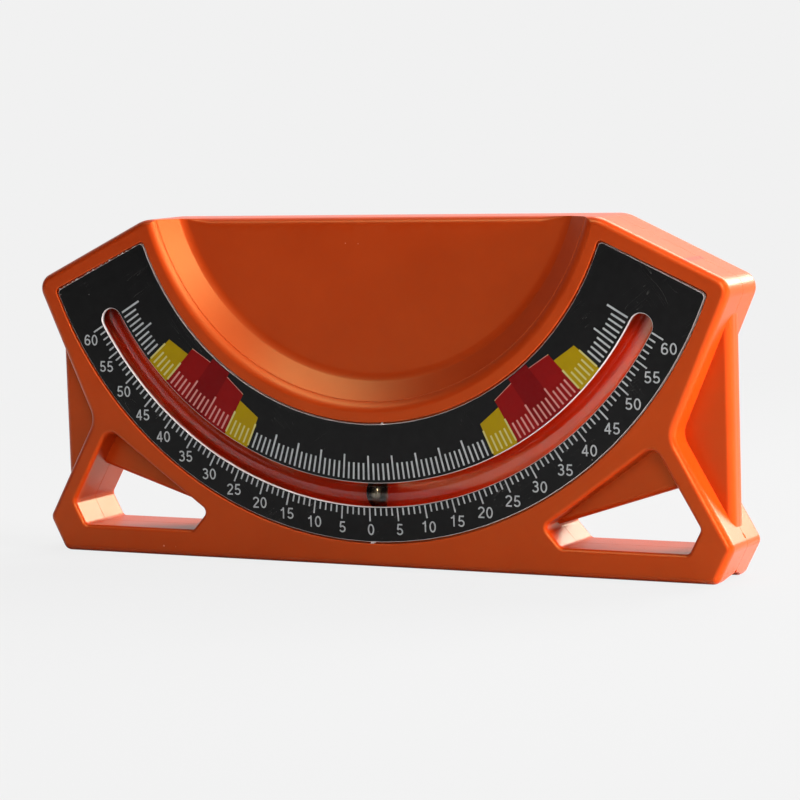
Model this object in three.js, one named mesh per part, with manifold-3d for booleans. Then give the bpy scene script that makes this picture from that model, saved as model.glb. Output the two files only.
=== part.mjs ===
// Pocket slope meter: a steel ball rolls in a curved clear tube behind a printed arc scale.
// Millimetres. +X along the length, -Y towards the reader, +Z up, origin under the middle of the base.
import * as THREE from 'three';
import * as BufferGeometryUtils from 'three/addons/utils/BufferGeometryUtils.js';
import Module from 'manifold-3d';

const wasm = await Module();
wasm.setup();

const degree = Math.PI / 180;

// Driving sizes of the scale, the plate and the recess above it
const tubePathRadius = 56.93;
const plateOuterBand = 7.77;
const plateInnerBand = 11.73;
const plateOuterEnd = 68.7;
const plateInnerEnd = 70.3;
const plateThickness = 0.6;
const plateDrop = 0.1;
const plateClearance = 0.5;
const plateFloor = 1.4;
const slotWidth = 3.95;
const slotEnd = 60;
const adhesiveThickness = 0.15;
const seatGap = 0.05;
const dishLedge = 3.6;
const dishDepth = 3.3;
const dishSlope = 2.9;
const dishCrown = 2.1;
const dishCrownDrop = 0.7;
const dishCove = 1.2;
const dishWall = 1.9;
const plateOuterRadius = tubePathRadius + plateOuterBand;
const plateInnerRadius = tubePathRadius - plateInnerBand;
const dishRadius = plateInnerRadius - dishLedge;

// Driving sizes of the housing: margins round the plate, and steps from one corner to the next
const baseMargin = 4.2;
const topMargin = 3.837;
const topStep = 0.155;
const shoulderMargin = 4.52;
const shoulderRise = 1.602;
const waistStep = 10.6;
const waistHeight = 23.1;
const footStep = 0.7;
const footHeight = 5.8;
const baseStep = 3.0;
const webStep = 2.2;
const frontDepth = 6.35;
const rearDepth = 6.35;
const wall = 2.0;
const edgeFillet = 1.2;
const topBendRadius = 6.0;
const shoulderRadius = 2.6;
const waistRadius = 3.5;
const footRadius = 1.5;
const baseRadius = 1.5;
const webThickness = 4.2;
const webEdge = 1.3;
const webRoot = 4.0;
const arcHeight = plateOuterRadius + baseMargin;
const height = arcHeight - plateInnerRadius * Math.cos(plateInnerEnd * degree) + topMargin;
const topHalf = plateInnerRadius * Math.sin(plateInnerEnd * degree) - topStep;
const shoulderHalf = plateOuterRadius * Math.sin(plateOuterEnd * degree) + shoulderMargin;
const shoulderHeight = arcHeight - plateOuterRadius * Math.cos(plateOuterEnd * degree) + shoulderRise;
const waistHalf = shoulderHalf - waistStep;
const footHalf = shoulderHalf - footStep;
const baseHalf = footHalf - baseStep;
const webHalf = shoulderHalf - webStep;

// Driving sizes of the strap windows and of the panel that closes their upper part
const windowSill = 4.7;
const windowOuterStep = 5.5;
const windowOuterRise = 4.0;
const windowOuterFootStep = 2.1;
const windowSillLength = 21.9;
const windowTipStep = 3.0;
const windowTipRise = 3.3;
const windowTopStep = 7.6;
const windowTopRise = 16.9;
const windowTopRadius = 1.8;
const windowRadius = 1.0;
const windowWall = 1.8;
const windowLip = 0.7;
const panelInnerStep = 1.6;
const panelInnerDrop = 0.9;
const panelOuterStep = 0.6;
const panelOuterRise = 7.2;
const panelEdge = 1.0;
const windowOuter = [footHalf - windowOuterStep, windowSill + windowOuterRise];
const windowOuterFoot = [windowOuter[0] - windowOuterFootStep, windowSill];
const windowInnerFoot = [windowOuterFoot[0] - windowSillLength, windowSill];
const windowTip = [windowInnerFoot[0] - windowTipStep, windowSill + windowTipRise];
const windowTop = [windowOuter[0] - windowTopStep, windowSill + windowTopRise];
const panelInner = [windowTip[0] - panelInnerStep, windowTip[1] - panelInnerDrop];
const panelOuter = [windowOuter[0] - panelOuterStep, windowOuter[1] + panelOuterRise];

// Driving sizes of the tube, its plugs and the ball
const tubeOuter = 3.0;
const tubeWall = 0.7;
const tubeGap = 0.3;
const tubeEnd = 65.6;
const troughWall = 1.5;
const troughGap = 0.3;
const ribThickness = 1.5;
const ribPitch = 13;
const ribCount = 9;
const ribReach = 2.0;
const ballRadius = 2.0;
const plugInsert = 3.0;
const plugFlange = 1.0;
const plugFlangeRadius = 2.9;
const plugFit = 0.2;
const flangeGap = 0.1;

// Driving sizes of the screws and their bosses
const shankRadius = 1.1;
const shankGap = 0.25;
const screwLength = 8.0;
const headRadius = 2.0;
const headHeight = 1.3;
const headGap = 0.3;
const headSink = 1.5;
const driveDepth = 0.7;
const driveWidth = 0.7;
const driveSpan = 2.2;
const tipLength = 0.8;
const bossRadius = 2.6;
const upperScrewStep = 6.2;
const upperScrewDrop = 1.6;
const innerScrewStep = 7.545;
const innerScrewAngle = 46.97;
const lowerScrewStep = 9.6;
const lowerScrewHeight = 4.9;

// Driving sizes of the pole seat under the base
const poleRadius = 9.0;
const poleSeatDepth = 1.1;

// Drawing counts and one overrun for all cuts
const cornerSteps = 4;
const filletSteps = 3;
const arcStep = 4;
const roundSides = 16;
const poleSides = 72;
const dishSides = 96;
const smallestRadiusShare = 0.05;
const coveShare = 0.55;
const crownShare = 0.5;
const crownTopShare = 0.75;
const overrun = 1.0;

// Derived places
const frontFace = -frontDepth;
const plateFront = frontFace + plateDrop;
const plateBack = plateFront + plateThickness;
const adhesiveFront = plateBack + seatGap;
const pocketFloor = adhesiveFront + adhesiveThickness + seatGap;
const pocketInside = pocketFloor + plateFloor;
const tubeY = plateBack + tubeGap + tubeOuter;
const boreRadius = tubeOuter - tubeWall;
const channelHalf = tubeOuter + tubeGap;
const flangeAngle = arcAngle(plugFlange + tubeGap);
const channelEnd = tubeEnd + flangeAngle + arcAngle(tubeGap);
const troughEnd = channelEnd + arcAngle(troughWall);
const plateMarginAngle = arcAngle(plateClearance);
const dishFloorY = frontFace + dishDepth;
const rearInside = rearDepth - wall;
const headSeat = rearDepth - headSink;
const screwSeat = headSeat + seatGap;
const screwTip = screwSeat - screwLength;
const pilotEnd = screwTip - headGap;

// The angle that a length takes along the tube's path
function arcAngle(length) {
  return length / tubePathRadius / degree;
}

// Colours
const orange = new THREE.MeshStandardMaterial({ color: 0xd2451a, roughness: 0.42, metalness: 0 });
const printBlack = new THREE.MeshStandardMaterial({ color: 0x1d1f1e, roughness: 0.5, metalness: 0 });
const film = new THREE.MeshStandardMaterial({ color: 0xe6e2d6, roughness: 0.8, metalness: 0 });
const clear = new THREE.MeshStandardMaterial({ color: 0xd98a6a, roughness: 0.08, metalness: 0 });
const rubber = new THREE.MeshStandardMaterial({ color: 0x202020, roughness: 0.8, metalness: 0 });
const steel = new THREE.MeshStandardMaterial({ color: 0x77787a, roughness: 0.15, metalness: 1 });
const zinc = new THREE.MeshStandardMaterial({ color: 0x9a9c9f, roughness: 0.35, metalness: 1 });

// A closed three.js geometry as a solid that can be joined and cut
function solid(geometry) {
  const bare = geometry.clone();
  bare.deleteAttribute('normal');
  bare.deleteAttribute('uv');
  const merged = BufferGeometryUtils.mergeVertices(bare);
  const triVerts = new Uint32Array(merged.index.array);
  return new wasm.Manifold(new wasm.Mesh({
    numProp: 3,
    vertProperties: new Float32Array(merged.attributes.position.array),
    triVerts: signedVolume(merged) < 0 ? triVerts.reverse() : triVerts,
  }));
}

// Negative where a closed geometry's faces point inwards
function signedVolume(geometry) {
  const position = geometry.attributes.position;
  const [a, b, c] = [new THREE.Vector3(), new THREE.Vector3(), new THREE.Vector3()];
  let total = 0;
  for (let i = 0; i < geometry.index.count; i += 3) {
    a.fromBufferAttribute(position, geometry.index.getX(i));
    b.fromBufferAttribute(position, geometry.index.getX(i + 1));
    c.fromBufferAttribute(position, geometry.index.getX(i + 2));
    total += a.dot(b.cross(c));
  }
  return total;
}

// A solid back as a three.js mesh under a name
function piece(name, body, material) {
  const mesh = body.getMesh();
  const geometry = new THREE.BufferGeometry();
  geometry.setAttribute('position', new THREE.BufferAttribute(new Float32Array(mesh.vertProperties), 3));
  geometry.setIndex(new THREE.BufferAttribute(new Uint32Array(mesh.triVerts), 1));
  geometry.computeVertexNormals();
  const result = new THREE.Mesh(geometry, material);
  result.name = name;
  return result;
}

function joined(bodies) {
  return bodies.reduce((whole, body) => whole.add(body));
}

// Corners of a closed outline moved inwards by inset; a corner is [x, z, radius], listed anticlockwise
function roundedOutline(corners, inset = 0) {
  const count = corners.length;
  const edges = corners.map((corner, i) => {
    const next = corners[(i + 1) % count];
    const along = new THREE.Vector2(next[0] - corner[0], next[1] - corner[1]).normalize();
    const inward = new THREE.Vector2(-along.y, along.x);
    return { along, inward, start: new THREE.Vector2(corner[0], corner[1]).addScaledVector(inward, inset) };
  });
  const points = [];
  corners.forEach((corner, i) => {
    const before = edges[(i + count - 1) % count];
    const after = edges[i];
    const turn = before.along.cross(after.along);
    const offset = after.start.clone().sub(before.start);
    const vertex = before.start.clone().addScaledVector(before.along, offset.cross(after.along) / turn);
    const convex = turn > 0;
    const radius = convex ? Math.max(corner[2] - inset, corner[2] * smallestRadiusShare) : corner[2] + inset;
    const turned = Math.atan2(turn, before.along.dot(after.along));
    const back = radius * Math.tan(Math.abs(turned) / 2);
    const side = convex ? radius : -radius;
    const centre = vertex.clone().addScaledVector(before.along, -back).addScaledVector(before.inward, side);
    const spoke = before.inward.clone().multiplyScalar(-side);
    for (let step = 0; step <= cornerSteps; step += 1) {
      const arm = spoke.clone().rotateAround(new THREE.Vector2(), turned * step / cornerSteps);
      points.push(centre.clone().add(arm));
    }
  });
  return points;
}

// A body through rings of one outline: each station is { y, inset }
function stacked(corners, stations) {
  const rings = stations.map(({ y, inset }) => roundedOutline(corners, inset).map((p) => [p.x, y, p.y]));
  const size = rings[0].length;
  const index = [];
  for (let ring = 0; ring + 1 < rings.length; ring += 1) {
    for (let i = 0; i < size; i += 1) {
      const a = ring * size + i;
      const b = ring * size + (i + 1) % size;
      index.push(a, b, b + size, a, b + size, a + size);
    }
  }
  const cap = THREE.ShapeUtils.triangulateShape(rings[0].map(([x, , z]) => new THREE.Vector2(x, z)), []);
  const last = (rings.length - 1) * size;
  cap.forEach(([a, b, c]) => {
    index.push(a, c, b);
    index.push(last + a, last + b, last + c);
  });
  const geometry = new THREE.BufferGeometry();
  geometry.setAttribute('position', new THREE.BufferAttribute(new Float32Array(rings.flat(2)), 3));
  geometry.setIndex(index);
  return solid(geometry);
}

// A straight body from y0 to y1
function prism(corners, y0, y1, inset = 0) {
  return stacked(corners, [{ y: y0, inset }, { y: y1, inset }]);
}

// Rings of a quarter round that starts at y with the given inset and ends flush, over the radius
function roundOver(y, direction, radius) {
  const stations = [];
  for (let step = 0; step <= filletSteps; step += 1) {
    const angle = (step / filletSteps) * (Math.PI / 2);
    stations.push({ y: y + direction * radius * (1 - Math.sin(angle)), inset: radius * (1 - Math.cos(angle)) });
  }
  return stations;
}

function mirrored(corners) {
  return corners.map(([x, z, radius]) => [-x, z, radius]).reverse();
}

function bothSides(make) {
  return [make((corners) => corners), make(mirrored)];
}

// A band along the scale arc, between two radii and two end angles, from y0 to y1
function arcBand(inner, outer, innerEnd, outerEnd, y0, y1) {
  const shape = new THREE.Shape();
  const points = [];
  const outerSteps = Math.ceil(2 * outerEnd / arcStep);
  for (let step = 0; step <= outerSteps; step += 1) {
    points.push(arcPoint(outer, -outerEnd + 2 * outerEnd * step / outerSteps));
  }
  const innerSteps = Math.ceil(2 * innerEnd / arcStep);
  for (let step = 0; step <= innerSteps; step += 1) {
    points.push(arcPoint(inner, innerEnd - 2 * innerEnd * step / innerSteps));
  }
  shape.setFromPoints(points);
  return upright(shape, y0, y1);
}

function arcPoint(radius, angle) {
  return new THREE.Vector2(radius * Math.sin(angle * degree), arcHeight - radius * Math.cos(angle * degree));
}

// A shape drawn in X and Z, extruded from y0 to y1
function upright(shape, y0, y1) {
  const geometry = new THREE.ExtrudeGeometry(shape, { depth: y1 - y0, bevelEnabled: false });
  geometry.rotateX(Math.PI / 2);
  geometry.translate(0, y1, 0);
  return solid(geometry);
}

// The arc window with round ends
function slotBody(y0, y1) {
  const shape = new THREE.Shape();
  const points = [];
  const half = slotWidth / 2;
  const steps = Math.ceil(2 * slotEnd / arcStep);
  const capSteps = roundSides / 2;
  for (let step = 0; step <= steps; step += 1) {
    points.push(arcPoint(tubePathRadius + half, -slotEnd + 2 * slotEnd * step / steps));
  }
  points.push(...slotCap(1, half, capSteps));
  for (let step = 0; step <= steps; step += 1) {
    points.push(arcPoint(tubePathRadius - half, slotEnd - 2 * slotEnd * step / steps));
  }
  points.push(...slotCap(-1, half, capSteps));
  shape.setFromPoints(points);
  return upright(shape, y0, y1);
}

// The inner points of the round end of the window on one side, in the outline's own direction
function slotCap(side, half, steps) {
  const centre = arcPoint(tubePathRadius, side * slotEnd);
  const points = [];
  for (let step = 1; step < steps; step += 1) {
    const turn = Math.PI * step / steps + (side < 0 ? Math.PI : 0) - Math.PI / 2 + side * slotEnd * degree;
    points.push(new THREE.Vector2(centre.x + half * Math.cos(turn), centre.y + half * Math.sin(turn)));
  }
  return points;
}

// A round body of one section swept along the tube's arc
class TubeArc extends THREE.Curve {
  constructor(end) {
    super();
    this.end = end;
  }

  getPoint(share, target = new THREE.Vector3()) {
    const p = arcPoint(tubePathRadius, this.end * (2 * share - 1));
    return target.set(p.x, tubeY, p.y);
  }
}

function sweptRound(radius, end) {
  const shape = new THREE.Shape();
  shape.absarc(0, 0, radius, 0, 2 * Math.PI, false);
  const steps = Math.ceil(2 * end / arcStep);
  return solid(new THREE.ExtrudeGeometry(shape, {
    steps,
    curveSegments: roundSides / 2,
    bevelEnabled: false,
    extrudePath: new TubeArc(end),
  }));
}

// A body of revolution about a line along Y through [x, z]; the profile's points are [radius, y]
function turned(profile, x, z, sides = roundSides) {
  const geometry = new THREE.LatheGeometry(profile.map(([radius, y]) => new THREE.Vector2(radius, y)), sides);
  geometry.translate(x, 0, z);
  return solid(geometry);
}

function cylinder(radius, y0, y1, [x, z]) {
  return turned([[0, y0], [radius, y0], [radius, y1], [0, y1]], x, z);
}

// Outlines: the right half anticlockwise from the middle of the base, then its mirror image
const rightOutline = [
  [baseHalf, 0, baseRadius],
  [footHalf, footHeight, footRadius],
  [waistHalf, waistHeight, waistRadius],
  [shoulderHalf, shoulderHeight, shoulderRadius],
  [topHalf, height, topBendRadius],
];
const outline = [...rightOutline, ...mirrored(rightOutline)];
const strapWindow = [
  [...windowTip, windowRadius],
  [...windowInnerFoot, windowRadius],
  [...windowOuterFoot, windowRadius],
  [...windowOuter, windowRadius],
  [...windowTop, windowTopRadius],
];
const web = [
  [waistHalf - webRoot, waistHeight, webEdge],
  [webHalf, footHeight - webEdge, webEdge],
  [webHalf, shoulderHeight, webEdge],
];
const panelTop = waistHeight + webRoot;
const panel = [
  [...panelInner, panelEdge],
  [...panelOuter, panelEdge],
  [panelOuter[0], panelTop, panelEdge],
  [panelInner[0], panelTop, panelEdge],
];
const upperScrew = [shoulderHalf - upperScrewStep, shoulderHeight - upperScrewDrop];
const innerScrew = arcPoint(tubePathRadius - innerScrewStep, innerScrewAngle).toArray();
const lowerScrew = [windowInnerFoot[0] - lowerScrewStep, lowerScrewHeight];
const screwSides = [1, -1];
const screwPlaces = [upperScrew, innerScrew, lowerScrew].flatMap(
  ([x, z]) => screwSides.map((side) => [side * x, z]),
);

// The recess at the top, grown by a wall where it is the space that the wall takes
function dishBody(growth) {
  const floorY = dishFloorY + growth;
  const floorRadius = dishRadius - dishSlope + growth;
  const rimRadius = dishRadius + growth;
  const profile = [[0, floorY], [floorRadius - dishCove, floorY], [floorRadius, floorY - dishCove * coveShare]];
  if (growth > 0) {
    profile.push([rimRadius, frontFace], [rimRadius, frontFace - overrun], [0, frontFace - overrun]);
  } else {
    for (let step = 0; step <= filletSteps; step += 1) {
      const left = 1 - step / filletSteps;
      profile.push([rimRadius + dishCrown * (1 - left), frontFace + dishCrownDrop * left * left]);
    }
    profile.push([rimRadius + dishCrown, frontFace - overrun], [0, frontFace - overrun]);
  }
  return turned(profile.reverse(), 0, arcHeight, dishSides);
}

// Window cutters: straight through, with the front and rear mouths eased
function windowCut(side) {
  const corners = side(strapWindow);
  const stations = [{ y: frontFace - overrun, inset: -windowLip }];
  for (let step = 0; step <= filletSteps; step += 1) {
    const angle = (step / filletSteps) * (Math.PI / 2);
    stations.push({
      y: frontFace + windowLip * (1 - Math.cos(angle)),
      inset: -windowLip * (1 - Math.sin(angle)),
    });
  }
  const rear = stations.map(({ y, inset }) => ({ y: -y + rearDepth - frontDepth, inset })).reverse();
  return stacked(corners, [...stations, ...rear]);
}

function panelBody(side) {
  const half = webThickness / 2;
  const rounded = [...roundOver(-half, 1, panelEdge).reverse(), ...roundOver(half, -1, panelEdge)];
  return stacked(side(panel), rounded);
}

const webs = joined(bothSides((side) => {
  const half = webThickness / 2;
  return stacked(side(web), [...roundOver(-half, 1, webEdge).reverse(), ...roundOver(half, -1, webEdge)]);
}));
const windowHoles = joined(bothSides((side) => windowCut(side).subtract(panelBody(side))));
const windowWalls = joined(bothSides((side) => prism(side(strapWindow), frontFace, rearDepth, -windowWall)));

const poleSeatGeometry = new THREE.CylinderGeometry(
  poleRadius, poleRadius, 2 * (footHalf + overrun), poleSides,
);
poleSeatGeometry.rotateZ(Math.PI / 2);
poleSeatGeometry.translate(0, 0, poleSeatDepth - poleRadius);
const poleSeat = solid(poleSeatGeometry);

// The block of space that one half of the housing lies in, for cutting at the joint
function halfSpace(y0, y1) {
  const block = new THREE.BoxGeometry(2 * (shoulderHalf + overrun), y1 - y0, 2 * (height + overrun));
  block.translate(0, (y0 + y1) / 2, 0);
  return solid(block);
}

function frontHousing() {
  const body = stacked(outline, [...roundOver(frontFace, 1, edgeFillet).reverse(), { y: 0, inset: 0 }]);
  const kept = [
    dishBody(dishWall),
    arcBand(
      plateInnerRadius - wall, plateOuterRadius + wall, plateInnerEnd + arcAngle(wall),
      plateOuterEnd + arcAngle(wall), frontFace, pocketInside,
    ),
    arcBand(
      tubePathRadius - channelHalf - troughWall, tubePathRadius + channelHalf + troughWall,
      troughEnd, troughEnd, frontFace, overrun,
    ),
    windowWalls,
    ...screwPlaces.map((place) => cylinder(bossRadius, frontFace, overrun, place)),
  ];
  const hollow = prism(outline, frontFace + wall, overrun, wall).subtract(joined(kept));
  const pocket = arcBand(
    plateInnerRadius - plateClearance, plateOuterRadius + plateClearance,
    plateInnerEnd + plateMarginAngle, plateOuterEnd + plateMarginAngle, frontFace - overrun, pocketFloor,
  );
  const channel = arcBand(
    tubePathRadius - channelHalf, tubePathRadius + channelHalf, channelEnd, channelEnd,
    pocketFloor - overrun, tubeY,
  );
  const pilots = screwPlaces.map((place) => cylinder(shankRadius + shankGap, pilotEnd, overrun, place));
  return body
    .add(webs)
    .subtract(hollow)
    .intersect(halfSpace(frontFace, 0))
    .add(troughBack())
    .subtract(joined([pocket, channel, tubeSpace(), dishBody(0), windowHoles, poleSeat, ...pilots]));
}

function rearHousing() {
  const body = stacked(outline, [{ y: 0, inset: 0 }, ...roundOver(rearDepth, -1, edgeFillet)]);
  const kept = [
    windowWalls,
    ...screwPlaces.map((place) => cylinder(bossRadius + shankGap, -overrun, rearDepth, place)),
    ...ribBodies(),
  ];
  const hollow = prism(outline, -overrun, rearInside, wall).subtract(joined(kept));
  const holes = screwPlaces.flatMap((place) => [
    cylinder(shankRadius + shankGap, -overrun, rearDepth, place),
    cylinder(headRadius + headGap, headSeat, rearDepth + overrun, place),
  ]);
  return body
    .add(webs)
    .subtract(hollow)
    .subtract(joined([troughSpace(), windowHoles, poleSeat, ...holes]))
    .intersect(halfSpace(0, rearDepth));
}

// The space of the tube and its end plugs, with the running gap
function tubeSpace() {
  return sweptRound(channelHalf, channelEnd);
}

// The round back of the trough, which reaches into the rear half behind the tube
function troughBack() {
  return sweptRound(channelHalf + troughWall, troughEnd).intersect(halfSpace(-seatGap, rearDepth));
}

// The room that the rear half leaves for the back of the trough
function troughSpace() {
  return sweptRound(channelHalf + troughWall + troughGap, troughEnd + arcAngle(troughGap));
}

// Radial ribs of the rear half that back the trough
function ribBodies() {
  const ribs = [];
  const inner = tubePathRadius - channelHalf - ribReach;
  const outer = tubePathRadius + channelHalf + ribReach;
  for (let i = 0; i < ribCount; i += 1) {
    const angle = (i - (ribCount - 1) / 2) * ribPitch * degree;
    const rib = new THREE.BoxGeometry(ribThickness, rearDepth, outer - inner);
    rib.translate(0, rearDepth / 2, -(outer + inner) / 2);
    rib.rotateY(-angle);
    rib.translate(0, 0, arcHeight);
    ribs.push(solid(rib));
  }
  return ribs;
}

function scalePlate() {
  return arcBand(plateInnerRadius, plateOuterRadius, plateInnerEnd, plateOuterEnd, plateFront, plateBack)
    .subtract(slotBody(plateFront - overrun, plateBack + overrun));
}

function plateAdhesive() {
  const back = adhesiveFront + adhesiveThickness;
  const channel = arcBand(
    tubePathRadius - channelHalf, tubePathRadius + channelHalf, channelEnd, channelEnd,
    adhesiveFront - overrun, back + overrun,
  );
  return arcBand(plateInnerRadius, plateOuterRadius, plateInnerEnd, plateOuterEnd, adhesiveFront, back)
    .subtract(channel);
}

function vialTube() {
  return sweptRound(tubeOuter, tubeEnd).subtract(sweptRound(boreRadius, tubeEnd + overrun));
}

// A plug's own axis runs from the flange into the bore; it is then turned to the tube's end
function vialPlug(side) {
  const profile = [
    [0, -plugFlange],
    [plugFlangeRadius, -plugFlange],
    [plugFlangeRadius, 0],
    [boreRadius - plugFit, 0],
    [boreRadius - plugFit, plugInsert],
    [0, plugInsert],
  ];
  const geometry = new THREE.LatheGeometry(profile.map(([r, y]) => new THREE.Vector2(r, y)), roundSides);
  geometry.rotateZ(side * Math.PI / 2);
  geometry.translate(side * flangeGap, 0, 0);
  const inward = geometry.rotateY(-side * (tubeEnd * degree));
  const end = arcPoint(tubePathRadius, side * tubeEnd);
  inward.translate(end.x, tubeY, end.y);
  return solid(inward);
}

function ball() {
  const sphere = new THREE.SphereGeometry(ballRadius, roundSides, roundSides / 2);
  const place = arcPoint(tubePathRadius, 0);
  sphere.translate(place.x, tubeY, place.y);
  return solid(sphere);
}

function screw(place) {
  const top = screwSeat + headHeight;
  const profile = [
    [0, screwTip],
    [shankRadius, screwTip + tipLength],
    [shankRadius, screwSeat],
    [headRadius, screwSeat],
    [headRadius, top - headHeight * crownShare],
    [headRadius * crownTopShare, top],
    [0, top],
  ];
  const drive = [0, 1].map((arm) => {
    const bar = new THREE.BoxGeometry(driveSpan, driveDepth + overrun, driveWidth);
    bar.rotateY(arm * Math.PI / 2);
    bar.translate(place[0], top - driveDepth + (driveDepth + overrun) / 2, place[1]);
    return solid(bar);
  });
  return turned(profile, place[0], place[1]).subtract(joined(drive));
}

const inclinometer = new THREE.Group();
inclinometer.add(piece('front_housing', frontHousing(), orange));
inclinometer.add(piece('rear_housing', rearHousing(), orange));
inclinometer.add(piece('scale_plate', scalePlate(), printBlack));
inclinometer.add(piece('plate_adhesive', plateAdhesive(), film));
inclinometer.add(piece('vial_tube', vialTube(), clear));
inclinometer.add(piece('vial_plug_right', vialPlug(1), rubber));
inclinometer.add(piece('vial_plug_left', vialPlug(-1), rubber));
inclinometer.add(piece('indicator_ball', ball(), steel));
const screwNames = ['upper', 'inner', 'lower'].flatMap(
  (row) => ['right', 'left'].map((side) => `housing_screw_${row}_${side}`),
);
screwPlaces.forEach((place, i) => inclinometer.add(piece(screwNames[i], screw(place), zinc)));

export default inclinometer;
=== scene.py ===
"""Pocket slope meter: the looks of its moulded housing, printed scale, clear tube and rolling ball.

Sizes are in millimetres and in the frame's own axes until a mesh is made, which is in metres.
"""

import math

import bmesh
import bpy
from mathutils import Matrix, Vector


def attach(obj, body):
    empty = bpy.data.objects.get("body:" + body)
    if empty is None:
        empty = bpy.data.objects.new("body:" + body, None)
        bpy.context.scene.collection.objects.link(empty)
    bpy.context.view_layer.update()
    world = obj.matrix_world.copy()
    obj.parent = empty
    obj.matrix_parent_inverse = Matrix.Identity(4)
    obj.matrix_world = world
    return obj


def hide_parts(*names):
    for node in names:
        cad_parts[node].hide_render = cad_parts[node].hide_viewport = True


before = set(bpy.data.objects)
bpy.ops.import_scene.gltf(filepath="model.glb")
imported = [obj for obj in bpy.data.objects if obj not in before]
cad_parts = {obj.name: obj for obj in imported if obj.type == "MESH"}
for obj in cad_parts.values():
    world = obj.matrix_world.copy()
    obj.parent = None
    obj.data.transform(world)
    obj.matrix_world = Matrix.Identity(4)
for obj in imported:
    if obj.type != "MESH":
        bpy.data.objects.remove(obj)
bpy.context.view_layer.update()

MM = 0.001
DEGREE = math.pi / 180
HOUSING_BODY = "housing"
BALL_BODY = "ball"
SIDES = (("right", 1), ("left", -1))

# The scale arc and its plate
TUBE_PATH_RADIUS = 56.93
PLATE_OUTER_RADIUS = 64.7
PLATE_INNER_RADIUS = 45.2
PLATE_OUTER_END = 68.7
PLATE_INNER_END = 70.3
ARC_HEIGHT = 68.9
SLOT_WIDTH = 3.95
SLOT_END = 60.0
PLATE_THICKNESS = 0.6
PLATE_DROP = 0.1
PLATE_CLEARANCE = 0.3
PLATE_FLOOR = 1.4
PLATE_CORNER = 0.9
POCKET_MOUTH = 0.12

# The plate's cut edge: parts of the chamfer passed and of the margin left, and the waves along it
PRINT_MARGIN = 0.09
PRINT_CHAMFER = 0.1
CUT_EDGE = ((0, 1), (0.35, 0.35), (1, 0))
FLAT_ENOUGH = 0.999
PLATE_RIPPLE = 0.025
RIPPLE_WAVES = ((3.1, 0), (7.7, 1), (17.3, 0))
TAB_DEPTH = 0.3
TABS = [
    ("upper", 3.5, PLATE_INNER_RADIUS,
     ((-0.42, 0.15), (0.28, 0.15), (0.18, -0.18), (0.05, -0.44), (-0.12, -0.14))),
    ("lower", 0.35, PLATE_OUTER_RADIUS,
     ((-0.6, 0.42), (-0.1, 0.36), (0.4, 0.12), (0.62, -0.12), (-0.2, -0.12))),
]
CHIP_COUNT = 26
CHIP_INSET = 0.03
CHIP_STRAY = 0.03
CHIP_SIZE = 0.09
CHIP_DEPTH = 0.12

# The print: its thickness, the coloured fields (angles and inner radii at both), marks and numerals
PRINT_LIFT = 0.012
PRINT_SINK = 0.02
LAYER_LIFT = 0.002
FIELD_GAP = 0.02
FIELD_STEPS = 5
BANDS = [
    ("yellow_low", 25, 30, 49.24, 48.30),
    ("red_low", 30, 35, 47.10, 46.30),
    ("deep_red", 35, 40, 45.42, 45.42),
    ("red_high", 40, 45, 46.30, 47.00),
    ("yellow_high", 45, 50, 48.30, 49.30),
]
EDGE_LINE_WIDTH = 0.09
EDGE_LINE_INSET = 0.03
EDGE_LINE_LIFT = 0.003
TINT_EDGE = 0.2
MARK_THICKNESS = 0.03
MARK_DROP = 0.001
OUTER_MARK_GAP = 0.175
INNER_MARK_GAP = 0.555
NUMERAL_STEP = 5
NUMERAL_HEIGHT = 1.86
NUMERAL_BOX = 0.5
NUMERAL_WIDEN = 1.36
NUMERAL_ADVANCE = 0.79
NUMERAL_STROKE = 0.235
NUMERAL_RADIUS = 62.65
NUMERAL_CROWDING = 0.988
PRINT_SHIFT = 0.12

# The dish
DISH_RADIUS = 41.6
DISH_DEPTH = 3.3
DISH_SLOPE = 2.9
DISH_CROWN = 1.8
DISH_CROWN_DROP = 0.8
DISH_COVE = 1.2
DISH_COVE_DROP = 0.66
DISH_COVE_TILT = 0.5
DISH_WALL_TILT = 0.67
DISH_WALL_RUN = 3.75
FOOT_LINE_HALF = 0.14
FOOT_LINE_RISE = 0.025
LIP_LINE_HALF = 0.07
LIP_LINE_RISE = 0.05
DISH_WALL = 1.9
DISH_TOP_ROUND = 1.25
DISH_TOP_HALF = 36.0
DISH_TOP_FADE = 5.0
DISH_TOP_LEAST = 0.02
DISH_TOP_STOPS = (0, 0.5, 0.8, 1)
DISH_RINGS = (6.0, 11.0, 13.0, 15.0, 17.0, 19.0, 21.0, 23.0, 26.0, 29.0, 32.0, 35.0)

# The housing; each corner of an outline is (x, z, radius)
HEIGHT = 57.5
HALF_DEPTH = 6.35
WALL = 2.0
EDGE_FILLET = 1.2
SEAM_GROOVE = 0.04
WEB_THICKNESS = 4.2
WEB_EDGE = 1.3
WINDOW_WALL = 1.8
WINDOW_LIP = 0.7
PANEL_EDGE = 1.0
RIGHT_OUTLINE = [
    (61.1, 0.0, 1.5),
    (64.1, 5.8, 1.5),
    (54.2, 23.1, 3.5),
    (64.8, 47.0, 2.6),
    (42.4, 57.5, 6.0),
]
STRAP_WINDOW = [
    (31.6, 8.0, 1.0),
    (34.6, 4.7, 1.0),
    (56.5, 4.7, 1.0),
    (58.6, 8.7, 1.0),
    (51.0, 21.6, 1.8),
]
WEB = [
    (50.2, 23.1, WEB_EDGE),
    (62.6, 4.5, WEB_EDGE),
    (62.6, 47.0, WEB_EDGE),
]
PANEL = [
    (30.0, 7.1, PANEL_EDGE),
    (58.0, 15.9, PANEL_EDGE),
    (58.0, 27.1, PANEL_EDGE),
    (30.0, 27.1, PANEL_EDGE),
]
GATE_RISE = 1.5
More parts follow.
